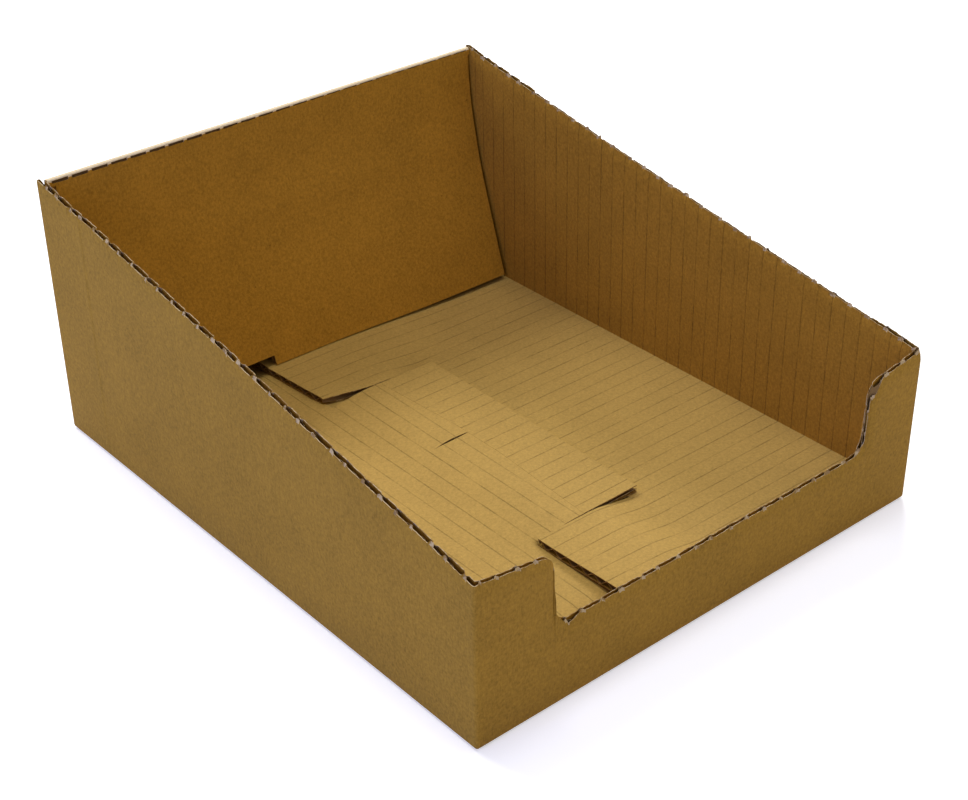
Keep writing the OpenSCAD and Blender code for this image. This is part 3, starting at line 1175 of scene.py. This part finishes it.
    def _roll(self, cols: Columns, radius: float) -> Array:
        """Points of the round lower edge: a quarter circle about the fold's centre.

        Args:
            cols: The columns.
            radius: Radius of the face.

        Returns:
            The points, columns x rows x 3.
        """
        angle = np.linspace(0, 1, self.ROLL_ROWS)[:-1] * np.pi / 2
        ones = np.ones((len(cols.q), 1))
        depth = ones * (self.bottom_r - radius * np.sin(angle))
        height = ones * (self.bottom_r - radius * np.cos(angle))
        return self._place(cols, depth, height, np.zeros_like(height))


# ---------------------------------------------------------------- bottom flaps


def unmoved(x: Array, y: Array) -> tuple[Array, Array]:
    """Leaves plan points where they are."""
    return x, y


@dataclass
class FlatPanel:
    """A bottom flap: a nearly level sheet of board over a plan outline.

    Attributes:
        name: Start of the pieces' names.
        palette: The finishes.
        stops_x: Places along X that get a grid line of their own.
        stops_y: Places along Y that get one.
        inside: Tells which quads belong, from the middles of the quads.
        level: Height of the underside at each point.
        flutes_along_x: Whether the flutes run along X.
        warp: Moves the plan points, to slant or curve an edge.
        fine: Largest distance between grid lines across the flutes of the medium.
        coarse: Largest distance between grid lines along the flutes.
        liner_step: How much further apart the fine lines are on a liner.
    """

    name: str
    palette: Palette
    stops_x: list[float]
    stops_y: list[float]
    inside: Callable[[Array, Array], Mask]
    level: Callable[[Array, Array], Array]
    flutes_along_x: bool
    warp: Callable[[Array, Array], tuple[Array, Array]] = unmoved
    fine: float = 0.65 * MM
    coarse: float = 4.0 * MM
    liner_step: float = 1.2

    def build(self) -> list[Object]:
        """Makes the three sheets of the flap, and returns them."""
        return [self._layer(layer) for layer in Layer]

    def _layer(self, layer: Layer) -> Object:
        """Makes one sheet. The outer liner lies underneath, because the flap folds under.

        Args:
            layer: Which sheet.

        Returns:
            The piece.
        """
        fine = self.fine if layer is Layer.MEDIUM else self.liner_step * self.fine
        step_x, step_y = (self.coarse, fine) if self.flutes_along_x else (fine, self.coarse)
        lines = lines_through(self.stops_x, step_x), lines_through(self.stops_y, step_y)
        x, y = np.meshgrid(*lines, indexing="ij")
        mask = self.inside(middles(x), middles(y))
        x, y = self.warp(x, y)
        across, along = (y, x) if self.flutes_along_x else (x, y)
        inner_face = self.level(x, y) + BOARD.thickness
        bottom, top = (
            np.stack(
                [x, y + move, inner_face - depth] if self.flutes_along_x
                else [x + move, y, inner_face - depth],
                2,
            )
            for depth, move in layer_faces(layer, across)
        )
        uv = np.stack([across, along], 2)
        sheet = Sheet(f"{self.name}_{layer.value}", top, bottom, uv, mask)
        piece = sheet.build([self.palette.liner(layer), self.palette.cut_edge])
        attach(piece, "tray")
        return piece


@dataclass(frozen=True)
class LegShape:
    """How the panel with two legs climbs, lifts and slants."""

    front: float = 22.8 * MM  # how far the front leg reaches past the middle of the box
    back: float = 24.6 * MM
    climb: Range = (1 * MM, 23 * MM)  # where the panel climbs
    slot_ease: float = 2.5 * MM  # the slot ends this far short of the climb
    gentle_gap: float = 2 * MM  # past the slot, where the climb starts to get gentler
    gentle_y: float = 95 * MM  # where it is gentlest
    gentle_run: float = 62 * MM  # how much further it runs there
    gentle_lead: float = 5 * MM  # and how much sooner it starts
    front_lift: float = 1.4 * MM  # of the front leg's free end
    front_fade: float = 6 * MM  # where that lift ends
    front_y: Range = (-105 * MM, -62 * MM)  # and over which width
    back_lift: float = 0.2 * MM
    back_y: Range = (62 * MM, 90 * MM)
    root: float = -4 * MM  # where the back leg's lift and slants start
    run: float = 21 * MM
    side_in: float = 4.4 * MM  # slant of its side along the slot
    side_reach: float = 16 * MM
    end_out: float = 2.2 * MM  # slant of its free end
    end_from: float = 60 * MM
    end_run: float = 33 * MM


@dataclass
class Bottom:
    """The snap-lock bottom: lock panel, two minor flaps and the panel with two legs.

    Places are measured from the middle of the box.
    """

    palette: Palette
    half_w: float
    half_d: float
    legs: LegShape = LegShape()
    gap: float = 0.15 * MM  # air between two layers
    minor_lift: float = 0.02 * MM  # of the minor flaps' and the lock panel's undersides
    lock_lift: float = 0.01 * MM
    edge: float = 1.7 * MM  # a flap starts this far inside the walls' outer face
    strip: float = 10 * MM  # flat part of a minor flap next to its fold
    ramp: float = 14 * MM  # length over which it climbs
    ease: float = 2 * MM  # how much further the climb starts and ends
    relief: float = 2.2 * MM  # notch at each end of a fold
    wall_gap: float = 0.7 * MM  # between a minor flap and the left wall
    minor_edge: float = 2 * MM  # right edge of the minor flaps
    edge_slant: float = 3.0 * MM  # how far that edge slants away
    slant_start: float = -8 * MM  # where the plan starts to follow that slant
    slant_from: float = 12 * MM
    slant_run: float = 45 * MM
    front_tip: float = 6.0 * MM  # seam between the two minor flaps
    tip_gap: float = -0.02 * MM
    tip_notch: float = 0.5 * MM  # how far the seam stands open near its right end
    tip_fade: float = 10 * MM
    notch_x: float = -5 * MM
    notch_reach: float = 10 * MM
    flat_x: float = 10 * MM  # the minor flaps' flat parts run under the legs up to here
    flat_under: float = 18 * MM  # and beyond it, this far under the tongue
    tongue_front: float = 60.0 * MM
    tongue_back: float = 55.2 * MM
    tongue_end: float = 24.5 * MM
    tongue_lift: float = 0.2 * MM  # of its front corner, from these two places on
    lift_x: float = 8 * MM
    lift_y: float = -44 * MM
    slot_gap: float = 0.5 * MM
    hump_start: float = -38 * MM  # where the tongue starts to climb
    hump_end: float = -4 * MM
    hump_fade: float = 12 * MM  # how far it lifts the minor flaps beyond the tongue
    slit_fade: float = 3 * MM
    seam_climb: float = 0.12 * MM  # its last climb, at the minor flaps' edge
    seam_reach: float = 14 * MM  # how far its lines slant there
    lock_step: float = 2.5 * MM
    slit_start: float = -22 * MM
    slit_w: float = 0.35 * MM

    @property
    def level_1(self) -> float:
        """Underside of a sheet that lies on one other."""
        return BOARD.thickness + self.gap

    @property
    def in_w(self) -> float:
        """Inside half width."""
        return self.half_w - BOARD.thickness

    @property
    def in_d(self) -> float:
        """Inside half depth."""
        return self.half_d - BOARD.thickness

    def build(self) -> list[Object]:
        """Makes all four flaps, and returns their pieces."""
        panels = (self._minor(-1), self._minor(1), self._lock(), self._legs())
        return [piece for panel in panels for piece in panel.build()]

    def _minor(self, side: int) -> FlatPanel:
        """One minor flap, on the front wall (-1) or the back wall (1).

        It climbs from its fold over the lock panel. To the right of the tongue it is only a strip.

        Args:
            side: Which wall.

        Returns:
            The flap.
        """
        tip = self.front_tip + (self.tip_gap if side > 0 else 0.0)
        slot_y = (self.tongue_back if side > 0 else self.tongue_front) + self.slot_gap
        strip_y = self.in_d - self.strip
        flat_start = self.minor_edge + self.slot_gap

        def inside(x: Array, y: Array) -> Mask:
            """The strip along the fold, the tip part on the left, and the flat part on the right.

            Args:
                x: Middles of the quads.
                y: Middles of the quads.

            Returns:
                Which quads belong.
            """
            out = y * side
            slit = (x > self.slit_start) & (out > slot_y - self.slit_w) & (out < slot_y)
            tip_part = (x < self.minor_edge) & ~slit
            flat_end = slot_y - np.where(x > self.flat_x, self.flat_under, 0.0)
            return (out > strip_y) | tip_part | ((x > flat_start) & (out > flat_end))

        def level(x: Array, y: Array) -> Array:
            """Level 0 at the strip, climbing smoothly to level 1, and over the tongue's hump.

            Args:
                x: Plan points.
                y: Plan points.

            Returns:
                Height of the underside.
            """
            out = y * side
            climb_end = self.strip + self.ramp + self.ease
            rise = smooth(self.in_d - out, self.strip - self.ease, climb_end)
            fade = 1 - smooth(out, slot_y, slot_y + self.hump_fade)
            fade = fade * (1 - smooth(x, self.slit_start - self.slit_fade, self.slit_start))
            hump = self._hump(x) * np.where(out < slot_y - self.slit_w / 2, 1.0, fade)
            on_left = x < self.minor_edge + self.slot_gap / 2
            return self.minor_lift + np.where(on_left, self.level_1 * rise + hump, 0.0)

        def warp(x: Array, y: Array) -> tuple[Array, Array]:
            """Slants the right edge a little, and opens the seam between the two flaps.

            Args:
                x: Plan points.
                y: Plan points.

            Returns:
                The moved points.
            """
            at_edge = smooth(x, self.slant_start, self.minor_edge)
            at_edge = at_edge * (x <= self.minor_edge + TOUCH)
            slant = (self._edge_x(y) - self.minor_edge) * at_edge * (y * side < slot_y)
            at_tip = smooth(-side * y, -side * tip - self.tip_fade, -side * tip)
            notch = self.tip_notch * at_tip * bump(x, self.notch_x, self.notch_reach)
            return x + slant, y + side * notch

        slit_y, flat_y = slot_y - self.slit_w, slot_y - self.flat_under
        outs = (self.half_d - self.edge, strip_y, slot_y, slit_y, flat_y)
        return FlatPanel(
            "minor_front" if side < 0 else "minor_back", self.palette,
            [self.wall_gap - self.in_w, self.slit_start, self.minor_edge, flat_start, self.flat_x,
             self.in_w - self.relief],
            [*(side * out for out in outs), tip],
            inside, level, flutes_along_x=False, warp=warp,
        )

    def _edge_x(self, y: Array) -> Array:
        """Place of the minor flaps' right edge, which slants away from the seam."""
        share = np.clip((np.abs(y) - self.slant_from) / self.slant_run, 0, 1)
        return self.minor_edge - self.edge_slant * share

    def _hump(self, x: Array) -> Array:
        """How far the tongue, as it climbs to the right, lifts itself and what lies on it."""
        return self.level_1 * smooth(x, self.hump_start, self.hump_end)

    def _lock(self) -> FlatPanel:
        """The lock panel of the left wall, with the tongue that climbs into the slot.

        Returns:
            The flap.
        """
        body_y = self.in_d - self.strip - self.ramp - self.relief
        start, climb = self.minor_edge, self.seam_climb
        shoulder, neck = -self.in_w / 2, -self.in_w / 6

        def everywhere(x: Array, y: Array) -> Mask:
            """Takes every quad, because the outline comes from the warp."""
            return np.ones_like(x, bool)

        def level(x: Array, y: Array) -> Array:
            """Level 0, then up to level 2 right past the minor flaps, with the front corner lifted.

            Args:
                x: Plan points.
                y: Plan points.

            Returns:
                Height of the underside.
            """
            rise = self._hump(x) + self.level_1 * smooth(x - self._edge_x(y), 0.0, climb)
            at_corner = smooth(x, self.lift_x, self.tongue_end)
            at_corner = at_corner * (1 - smooth(y, -self.tongue_front, self.lift_y))
            return self.lock_lift + rise + self.tongue_lift * at_corner

        def warp(x: Array, y: Array) -> tuple[Array, Array]:
            """Narrows the panel from its fold to the tongue, and slants the lines where it climbs.

            Args:
                x: Plan points.
                y: Plan points, from -1 to 1 times the fold's half width.

            Returns:
                The moved points.
            """
            narrow = smooth(x, shoulder, neck)
            tongue_y = np.where(y < 0, self.tongue_front, self.tongue_back)
            y = y / body_y * (body_y * (1 - narrow) + tongue_y * narrow)
            near = 1 - smooth(np.abs(x - start), 2 * climb, self.seam_reach)
            return x + (self._edge_x(y) - start) * near, y

        return FlatPanel(
            "lock_panel", self.palette,
            [self.edge - self.half_w, shoulder, neck, start - climb, start, start + climb,
             start + 2 * climb, self.tongue_end],
            [-body_y, 0.0, body_y],
            everywhere, level, flutes_along_x=True, warp=warp, coarse=self.lock_step,
        )

    def _legs(self) -> FlatPanel:
        """The panel of the right wall, whose two legs climb over the minor flaps.

        Returns:
            The flap.
        """
        legs, side_y = self.legs, self.in_d - self.relief
        slot_front = -self.tongue_front - self.slot_gap
        slot_back = self.tongue_back + self.slot_gap
        climb_start, climb_end = legs.climb
        slot_x = climb_end - legs.slot_ease

        def inside(x: Array, y: Array) -> Mask:
            """The body, and the two legs beside the slot.

            Args:
                x: Middles of the quads.
                y: Middles of the quads.

            Returns:
                Which quads belong.
            """
            front = (y < slot_front) & (x > -legs.front)
            back = (y > slot_back) & (x > -legs.back)
            return (x > slot_x) | front | back

        def level(x: Array, y: Array) -> Array:
            """Level 1 on the right, level 2 on the legs, with both free ends lifted.

            The panel slopes gently near the back wall and steeply elsewhere.

            Args:
                x: Plan points.
                y: Plan points.

            Returns:
                Height of the underside.
            """
            gentle = smooth(y, slot_back + legs.gentle_gap, legs.gentle_y)
            low_end = climb_end + legs.gentle_run * gentle
            climb = 1 - smooth(x, climb_start - legs.gentle_lead * gentle, low_end)
            front = 1 - smooth(x, -legs.front, legs.front_fade)
            front = front * (1 - smooth(y, *legs.front_y))
            back = 1 - smooth(x, -legs.back, legs.root)
            back = back * (1 - smooth(y, *legs.back_y)) * (y > 0)
            lift = legs.front_lift * front + legs.back_lift * back
            return self.level_1 * (1 + climb) + lift

        def warp(x: Array, y: Array) -> tuple[Array, Array]:
            """Slants the back leg's end, and its side along the slot.

            Args:
                x: Plan points.
                y: Plan points.

            Returns:
                The moved points.
            """
            is_back = y > slot_back - TOUCH
            along = np.clip((legs.root - x) / legs.run, 0, 1) * is_back
            side_share = np.clip(1 - (y - slot_back) / legs.side_reach, 0, 1)
            end_share = np.clip((y - legs.end_from) / legs.end_run, 0, 1)
            side_in = legs.side_in * along * side_share
            end_out = legs.end_out * along * end_share
            return x - end_out, y + side_in

        return FlatPanel(
            "leg_panel", self.palette,
            [-legs.back, -legs.front, climb_start, climb_end, slot_x, self.half_w - self.edge],
            [-side_y, slot_front, slot_back, side_y],
            inside, level, flutes_along_x=True, warp=warp,
        )


# ---------------------------------------------------------------- back flap and joint tab


@dataclass(frozen=True)
class FlapSheet:
    """How one sheet of the back flap lies.

    Attributes:
        start: Distance from the fold to its upper edge.
        depth: Place of its face in the board, from 0 at the back to 1 at the front.
        step: Largest distance between its grid lines across the flutes.
    """

    start: float
    depth: float
    step: float


@dataclass
class BackFlap:
    """The top flap of the back wall, folded down inside on a perforated crease."""

    palette: Palette
    half_w: float
    pivot: Range  # the fold's axis: Y and Z
    tip_z: float
    lean_low: float = 19.0  # lean from vertical at the tip, in degrees; the top hangs straight
    bow: Range = (-5 * MM, 65 * MM)  # distances from the fold where the lean starts and is full
    left: float = -94.0 * MM
    right: float = 96.0 * MM
    step_x: float = -23.2 * MM  # step in the free edge
    step_h: float = 4.0 * MM
    row_step: float = 2.4 * MM
    wave_end: Range = (1 * MM, 5 * MM)  # where its flutes grow to full height
    low_right: float = 1.15 * MM  # how much lower the free edge's right end is
    low_reach: float = 60 * MM
    slant: float = 1.0 * MM  # how far the right edge slants in
    slant_reach: float = 40 * MM
    pinch: float = 0.22  # share of the board's thickness left at the fold
    pinch_reach: float = 35 * MM
    core_depth: float = 0.5 * MM  # of the fold's inner sheet, under its outer one
    core_thick: float = 0.6 * MM
    crease_gap: float = 0.3 * MM  # between the fold's ends and the side walls
    crease_out: float = 2.1 * MM  # how far the fold's arch reaches back, and up
    crease_rise: float = 2.72 * MM
    crease_front: float = 0.85  # share of the pressed board where the fold meets the flap
    arch_step: float = 0.8 * MM
    arch_turn: float = 8.0  # degrees
    arch_power: float = 0.6  # the lower, the squarer the arch
    slit_from: float = 138.0  # angles of the slits' two sides on the arch, in degrees
    slit_to: float = 166.0
    slit_narrow: float = 0.6  # how much narrower they get to the right, and between where
    narrow_x: Range = (-70 * MM, 60 * MM)
    slit_stray: float = 0.12  # how uneven they are
    stray_step: float = 2 * MM

    SHEETS = {
        Layer.OUTER: FlapSheet(0.0, 1.0, 0.8 * MM),
        Layer.MEDIUM: FlapSheet(1.6 * MM, 0.6, 0.55 * MM),
        Layer.INNER: FlapSheet(0.9 * MM, 0.0, 0.8 * MM),
    }
    PATH = (-2 * MM, 110 * MM, 1121)  # where its side view starts and ends, and its points
    STRAY_SEED = 61

    def _profile(self) -> tuple[Array, Array, Array]:
        """Side view of the flap's back face: its lean grows smoothly from top to tip.

        Returns:
            Distance from the fold, and place (Y and Z) and lean in radians at each distance.
        """
        a = np.linspace(*self.PATH)
        lean = np.radians(self.lean_low * smooth(a, *self.bow))
        step = np.diff(a)
        y = self.pivot[0] - np.concatenate([[0], np.cumsum(np.sin(lean[:-1]) * step)])
        z = self.pivot[1] - a[0] - np.concatenate([[0], np.cumsum(np.cos(lean[:-1]) * step)])
        return a, np.stack([y, z], 1), lean

    def build(self) -> list[Object]:
        """Makes the flap's three sheets and its fold.

        Returns:
            The pieces.
        """
        sheets = [self._layer(layer) for layer in Layer]
        # The crease finish puts a pale painted highlight on the fold's outer sheet.
        crease, torn, core = self.palette.crease, self.palette.torn_edge, self.palette.core
        return sheets + [
            self._arch("fold_outer", 0.0, BOARD.liner, crease, torn, True),
            # The inner sheet of the fold takes the dark painted shade.
            self._arch("fold_core", self.core_depth, self.core_thick, core, core, False),
        ]

    def _layer(self, layer: Layer) -> Object:
        """Makes one sheet of the flap. The outer liner faces the front.

        Args:
            layer: Which sheet.

        Returns:
            The piece.
        """
        a, path, lean = self._profile()
        own = self.SHEETS[layer]
        length = float(np.interp(-self.tip_z, -path[:, 1], a))
        length += own.depth * BOARD.thickness * np.tan(np.radians(self.lean_low))
        step_a = length - self.step_h
        across = lines_through([self.left, self.step_x, self.right], own.step)
        down = lines_through([own.start, step_a, length], self.row_step)
        x, down = np.meshgrid(across, down, indexing="ij")
        mask = (middles(x) > self.step_x) | (middles(down) < step_a)
        low_end = smooth(x, 0.0, self.low_reach) * smooth(down, length / 2, length)
        down = down + self.low_right * low_end
        at_right = smooth(x, self.right - self.slant_reach, self.right)
        x = x - self.slant * at_right * down / length
        share = self.pinch + (1 - self.pinch) * np.clip(down / self.pinch_reach, 0, 1)
        y, z = (np.interp(down, a, path[:, k]) for k in range(2))
        tilt = np.interp(down, a, lean)
        faces = (
            np.stack([x + move, y - out * share * np.cos(tilt), z + out * share * np.sin(tilt)], 2)
            for out, move in layer_faces(layer, x, smooth(down, *self.wave_end))
        )
        sheet = Sheet(f"flap_{layer.value}", *faces, np.stack([x, down], 2), mask)
        # The outer sheet of the flap takes the brighter copy of the outside liner: painted light.
        face = self.palette.flap_face_painted_light if layer is Layer.OUTER else self.palette.liner(layer)
        piece = sheet.build([face, self.palette.cut_edge])
        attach(piece, "flap")
        return piece

    def _arch(
        self,
        name: str,
        depth: float,
        thick: float,
        face: Material,
        edge: Material,
        slit: bool,
    ) -> Object:
        """Makes one sheet of the fold: half a rounded rectangle over the crease.

        At angle t the arch is at c + a |cos t|^p towards the back and b |sin t|^p up. A slit
        gets narrower from the left to the right.

        Args:
            name: Name of the piece.
            depth: Distance under the outer surface.
            thick: Thickness of the sheet.
            face: Finish of its faces.
            edge: Finish of its edges.
            slit: Whether it has the slits.

        Returns:
            The piece.
        """
        span = self.half_w - BOARD.thickness - self.crease_gap
        count = int(2 * span / BOARD.perforation)
        first = -count * BOARD.perforation / 2
        ties = first + BOARD.perforation * np.arange(count)
        cut_a, cut_b = ties + BOARD.tie / 2, ties + BOARD.perforation - BOARD.tie / 2
        lines = lines_through([-span, span, *cut_a, *cut_b], self.arch_step)
        low, high = np.radians(self.slit_from), np.radians(self.slit_to)
        angles = lines_through([0.0, low, high, np.pi], np.radians(self.arch_turn))
        x, t = np.meshgrid(lines, angles, indexing="ij")
        stray = self.slit_stray * wobble(x, self.stray_step, self.STRAY_SEED)
        width = 1 - self.slit_narrow * smooth(x, *self.narrow_x) + stray
        new_high = low + (high - low) * width
        after = new_high + (t - high) / (np.pi - high) * (np.pi - new_high)
        t = np.where(t < low, t, np.where(t < high, low + (t - low) * width, after))
        front = self.pinch * BOARD.thickness
        middle, half = (self.crease_out - front) / 2, (self.crease_out + front) / 2
        side, rise = (np.abs(f(t)) ** self.arch_power for f in (np.cos, np.sin))
        faces = (
            np.stack([
                x,
                self.pivot[0] + middle + (half - under) * np.sign(np.cos(t)) * side,
                self.pivot[1] + (self.crease_rise - under) * rise,
            ], 2)
            for under in (depth, depth + thick)
        )
        mask, tint = None, None
        if slit:
            mid_x, mid_t = (lines[1:] + lines[:-1]) / 2, (angles[1:] + angles[:-1]) / 2
            turn = (mid_x - first) / BOARD.perforation
            in_cut = np.abs(turn - np.round(turn)) * BOARD.perforation > BOARD.tie / 2
            in_cut &= (turn > 0) & (turn < count)
            mask = ~(in_cut[:, None] & (mid_t > low) & (mid_t < high))
            # From the slits' middle to the front, the arch takes the flap face's colour with its
            # painted light.
            tint = np.repeat((mid_t > (low + high) / 2)[None, :], len(mid_x), 0)
        sheet = Sheet(name, *faces, np.stack([x, t * half], 2), mask, tint=tint)
        piece = sheet.build([face, edge, self.palette.flap_face_painted_light])
        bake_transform(piece)
        return piece


@dataclass
class JointTab:
    """The glued tab of the back wall, flat against the inside of the left wall."""

    palette: Palette
    in_w: float
    in_d: float
    width: float = 28 * MM
    bottom: float = 9.7 * MM
    top: float = 90 * MM
    glue: float = 0.3 * MM  # between the wall and the tab
    fine: float = 0.6 * MM
    rows: int = 12

    def build(self) -> list[Object]:
        """Makes the tab's three sheets, and returns them."""
        return [self._layer(layer) for layer in Layer]

    def _layer(self, layer: Layer) -> Object:
        """Makes one sheet of the tab, whose ends slant.

        Args:
            layer: Which sheet.

        Returns:
            The piece.
        """
        across = spaced(self.in_d - self.width, self.in_d, self.fine)
        y, share = np.meshgrid(across, np.linspace(0, 1, self.rows), indexing="ij")
        taper = (self.in_d - y) / 2
        low, high = self.bottom + taper, self.top - taper
        z = low + (high - low) * share
        inner_face = self.glue - self.in_w + BOARD.thickness
        bottom, top = (
            np.stack([inner_face - depth, y + move, z], 2)
            for depth, move in layer_faces(layer, y)
        )
        sheet = Sheet(f"joint_tab_{layer.value}", top, bottom, np.stack([y, z], 2))
        piece = sheet.build([self.palette.liner(layer), self.palette.cut_edge])
        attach(piece, "tray")
        return piece


# ---------------------------------------------------------------- studio


@dataclass(frozen=True)
class Lamp:
    """A square soft lamp.

    Attributes:
        name: Its name.
        place: Where it stands.
        size: Its side.
        power: Its power in watts.
        colour: Its colour, linear.
        aim: What it points at.
    """

    name: str
    place: Triple
    size: float
    power: float
    colour: Triple = (1.0, 1.0, 1.0)
    aim: Triple = (0.0, 0.0, 0.05)

    def make(self) -> None:
        """Adds the lamp to the scene."""
        data = bpy.data.lights.new(self.name, "AREA")
        data.shape = "SQUARE"
        data.size, data.energy, data.color = self.size, self.power, self.colour
        lamp = bpy.data.objects.new(self.name, data)
        bpy.context.scene.collection.objects.link(lamp)
        way = Vector(self.aim) - Vector(self.place)
        lamp.location = self.place
        lamp.rotation_euler = way.to_track_quat("-Z", "Y").to_euler()


class Studio:
    """Floor, world, lamps and camera."""

    LENS = 66.822
    SENSOR = 36.0
    CAMERA = (-0.35261, -0.42528, 0.36885)
    RIGHT = (0.760842, -0.648844, -0.010944)
    UP = (0.349071, 0.394992, 0.849783)
    BACK = (-0.547054, -0.650371, 0.527019)
    LAMPS = (
        Lamp("lamp_top", (0.05, 0.05, 1.6), 0.55, 6.4, aim=(0, 0, 0)),
        Lamp("lamp_left", (-1.4, -0.21, 0.6), 0.9, 11.0, (0.26, 0.34, 1.0)),
        Lamp("lamp_front", (0.1, -1.5, 0.6), 0.9, 1.7, (1.0, 0.67, 0.44)),
        Lamp("lamp_side", (0.8, -1.3, 1.6), 0.7, 1.2),
        Lamp("lamp_key", (1.05, 0.88, 1.1), 0.45, 14.0),
        Lamp("lamp_back", (-0.2, 1.3, 1.5), 0.6, 13.6),
    )
    SKY = (0.33, 0.33, 0.33, 1.0)
    FLOOR = (0.85, 0.85, 0.85, 1.0)
    FLOOR_HALF = 3.0
    FLOOR_Z = -0.2 * MM
    FLOOR_ROUGHNESS = 0.9
    GLOW = 0.45  # what the floor adds where it is seen, to fade to white

    def build(self) -> None:
        """Makes the whole studio."""
        self._camera()
        self._world()
        self._floor()
        for lamp in self.LAMPS:
            lamp.make()
        bpy.context.scene.view_settings.view_transform = "Standard"

    def _camera(self) -> None:
        """Places the camera from its right, up and back directions."""
        data = bpy.data.cameras.new("camera")
        data.lens, data.sensor_width, data.clip_start = self.LENS, self.SENSOR, 10 * MM
        camera = bpy.data.objects.new("camera", data)
        bpy.context.scene.collection.objects.link(camera)
        turn = Matrix((self.RIGHT, self.UP, self.BACK)).transposed().to_4x4()
        camera.matrix_world = Matrix.Translation(self.CAMERA) @ turn
        bpy.context.scene.camera = camera

    def _world(self) -> None:
        """Soft even light all round, and white behind the object."""
        world = bpy.data.worlds.new("studio")
        world.use_nodes = True
        graph = NodeGraph(world.node_tree)
        sky = graph.put(world.node_tree.nodes["Background"], Color=self.SKY)
        white = graph.add("ShaderNodeBackground")
        blend = graph.add("ShaderNodeMixShader")
        graph.put(blend, graph.seen(), sky.outputs[0], white.outputs[0])
        graph.put(world.node_tree.nodes["World Output"], Surface=blend.outputs[0])
        bpy.context.scene.world = world

    def _floor(self) -> None:
        """A pale floor that keeps the object's shadow and fades to white."""
        half, low = self.FLOOR_HALF, self.FLOOR_Z
        corners = [(-half, -half, low), (half, -half, low), (half, half, low), (-half, half, low)]
        mesh = bpy.data.meshes.new("floor")
        mesh.from_pydata(corners, [], [(0, 1, 2, 3)])
        floor = bpy.data.objects.new("floor", mesh)
        bpy.context.scene.collection.objects.link(floor)
        surface = Surface("floor_white")
        graph = surface.graph
        graph.put(surface.shader, Base_Color=self.FLOOR, Roughness=self.FLOOR_ROUGHNESS)
        glow = graph.add("ShaderNodeEmission")
        graph.put(glow, Strength=graph.math("MULTIPLY", graph.seen(), self.GLOW))
        both = graph.add("ShaderNodeAddShader")
        graph.put(both, surface.shader.outputs[0], glow.outputs[0])
        graph.put(surface.result, Surface=both.outputs[0])
        mesh.materials.append(surface.material)


# ---------------------------------------------------------------- the whole box


def main() -> None:
    """Builds the studio and every part of the box."""
    logging.basicConfig(level=logging.INFO, format="%(name)s: %(message)s")
    _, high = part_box("tray")
    flap_low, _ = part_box("back_flap")
    half_w, half_d, back_h = high
    in_w, in_d = half_w - BOARD.thickness, half_d - BOARD.thickness
    _, pivot_y, pivot_z = frame["joints"][0]["pos_m"]
    palette = Palette()
    Studio().build()
    walls = Walls(palette, half_w, half_d, back_h, pivot_z).build()
    bottom = Bottom(palette, half_w, half_d).build()
    tab = JointTab(palette, in_w, in_d).build()
    flap = BackFlap(palette, half_w, (pivot_y, pivot_z), flap_low.z + CLEAR).build()
    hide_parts("tray")
    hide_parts("back_flap")
    LOG.info("%d pieces in all", len(walls + bottom + tab + flap))


if __name__ == "__main__":
    main()
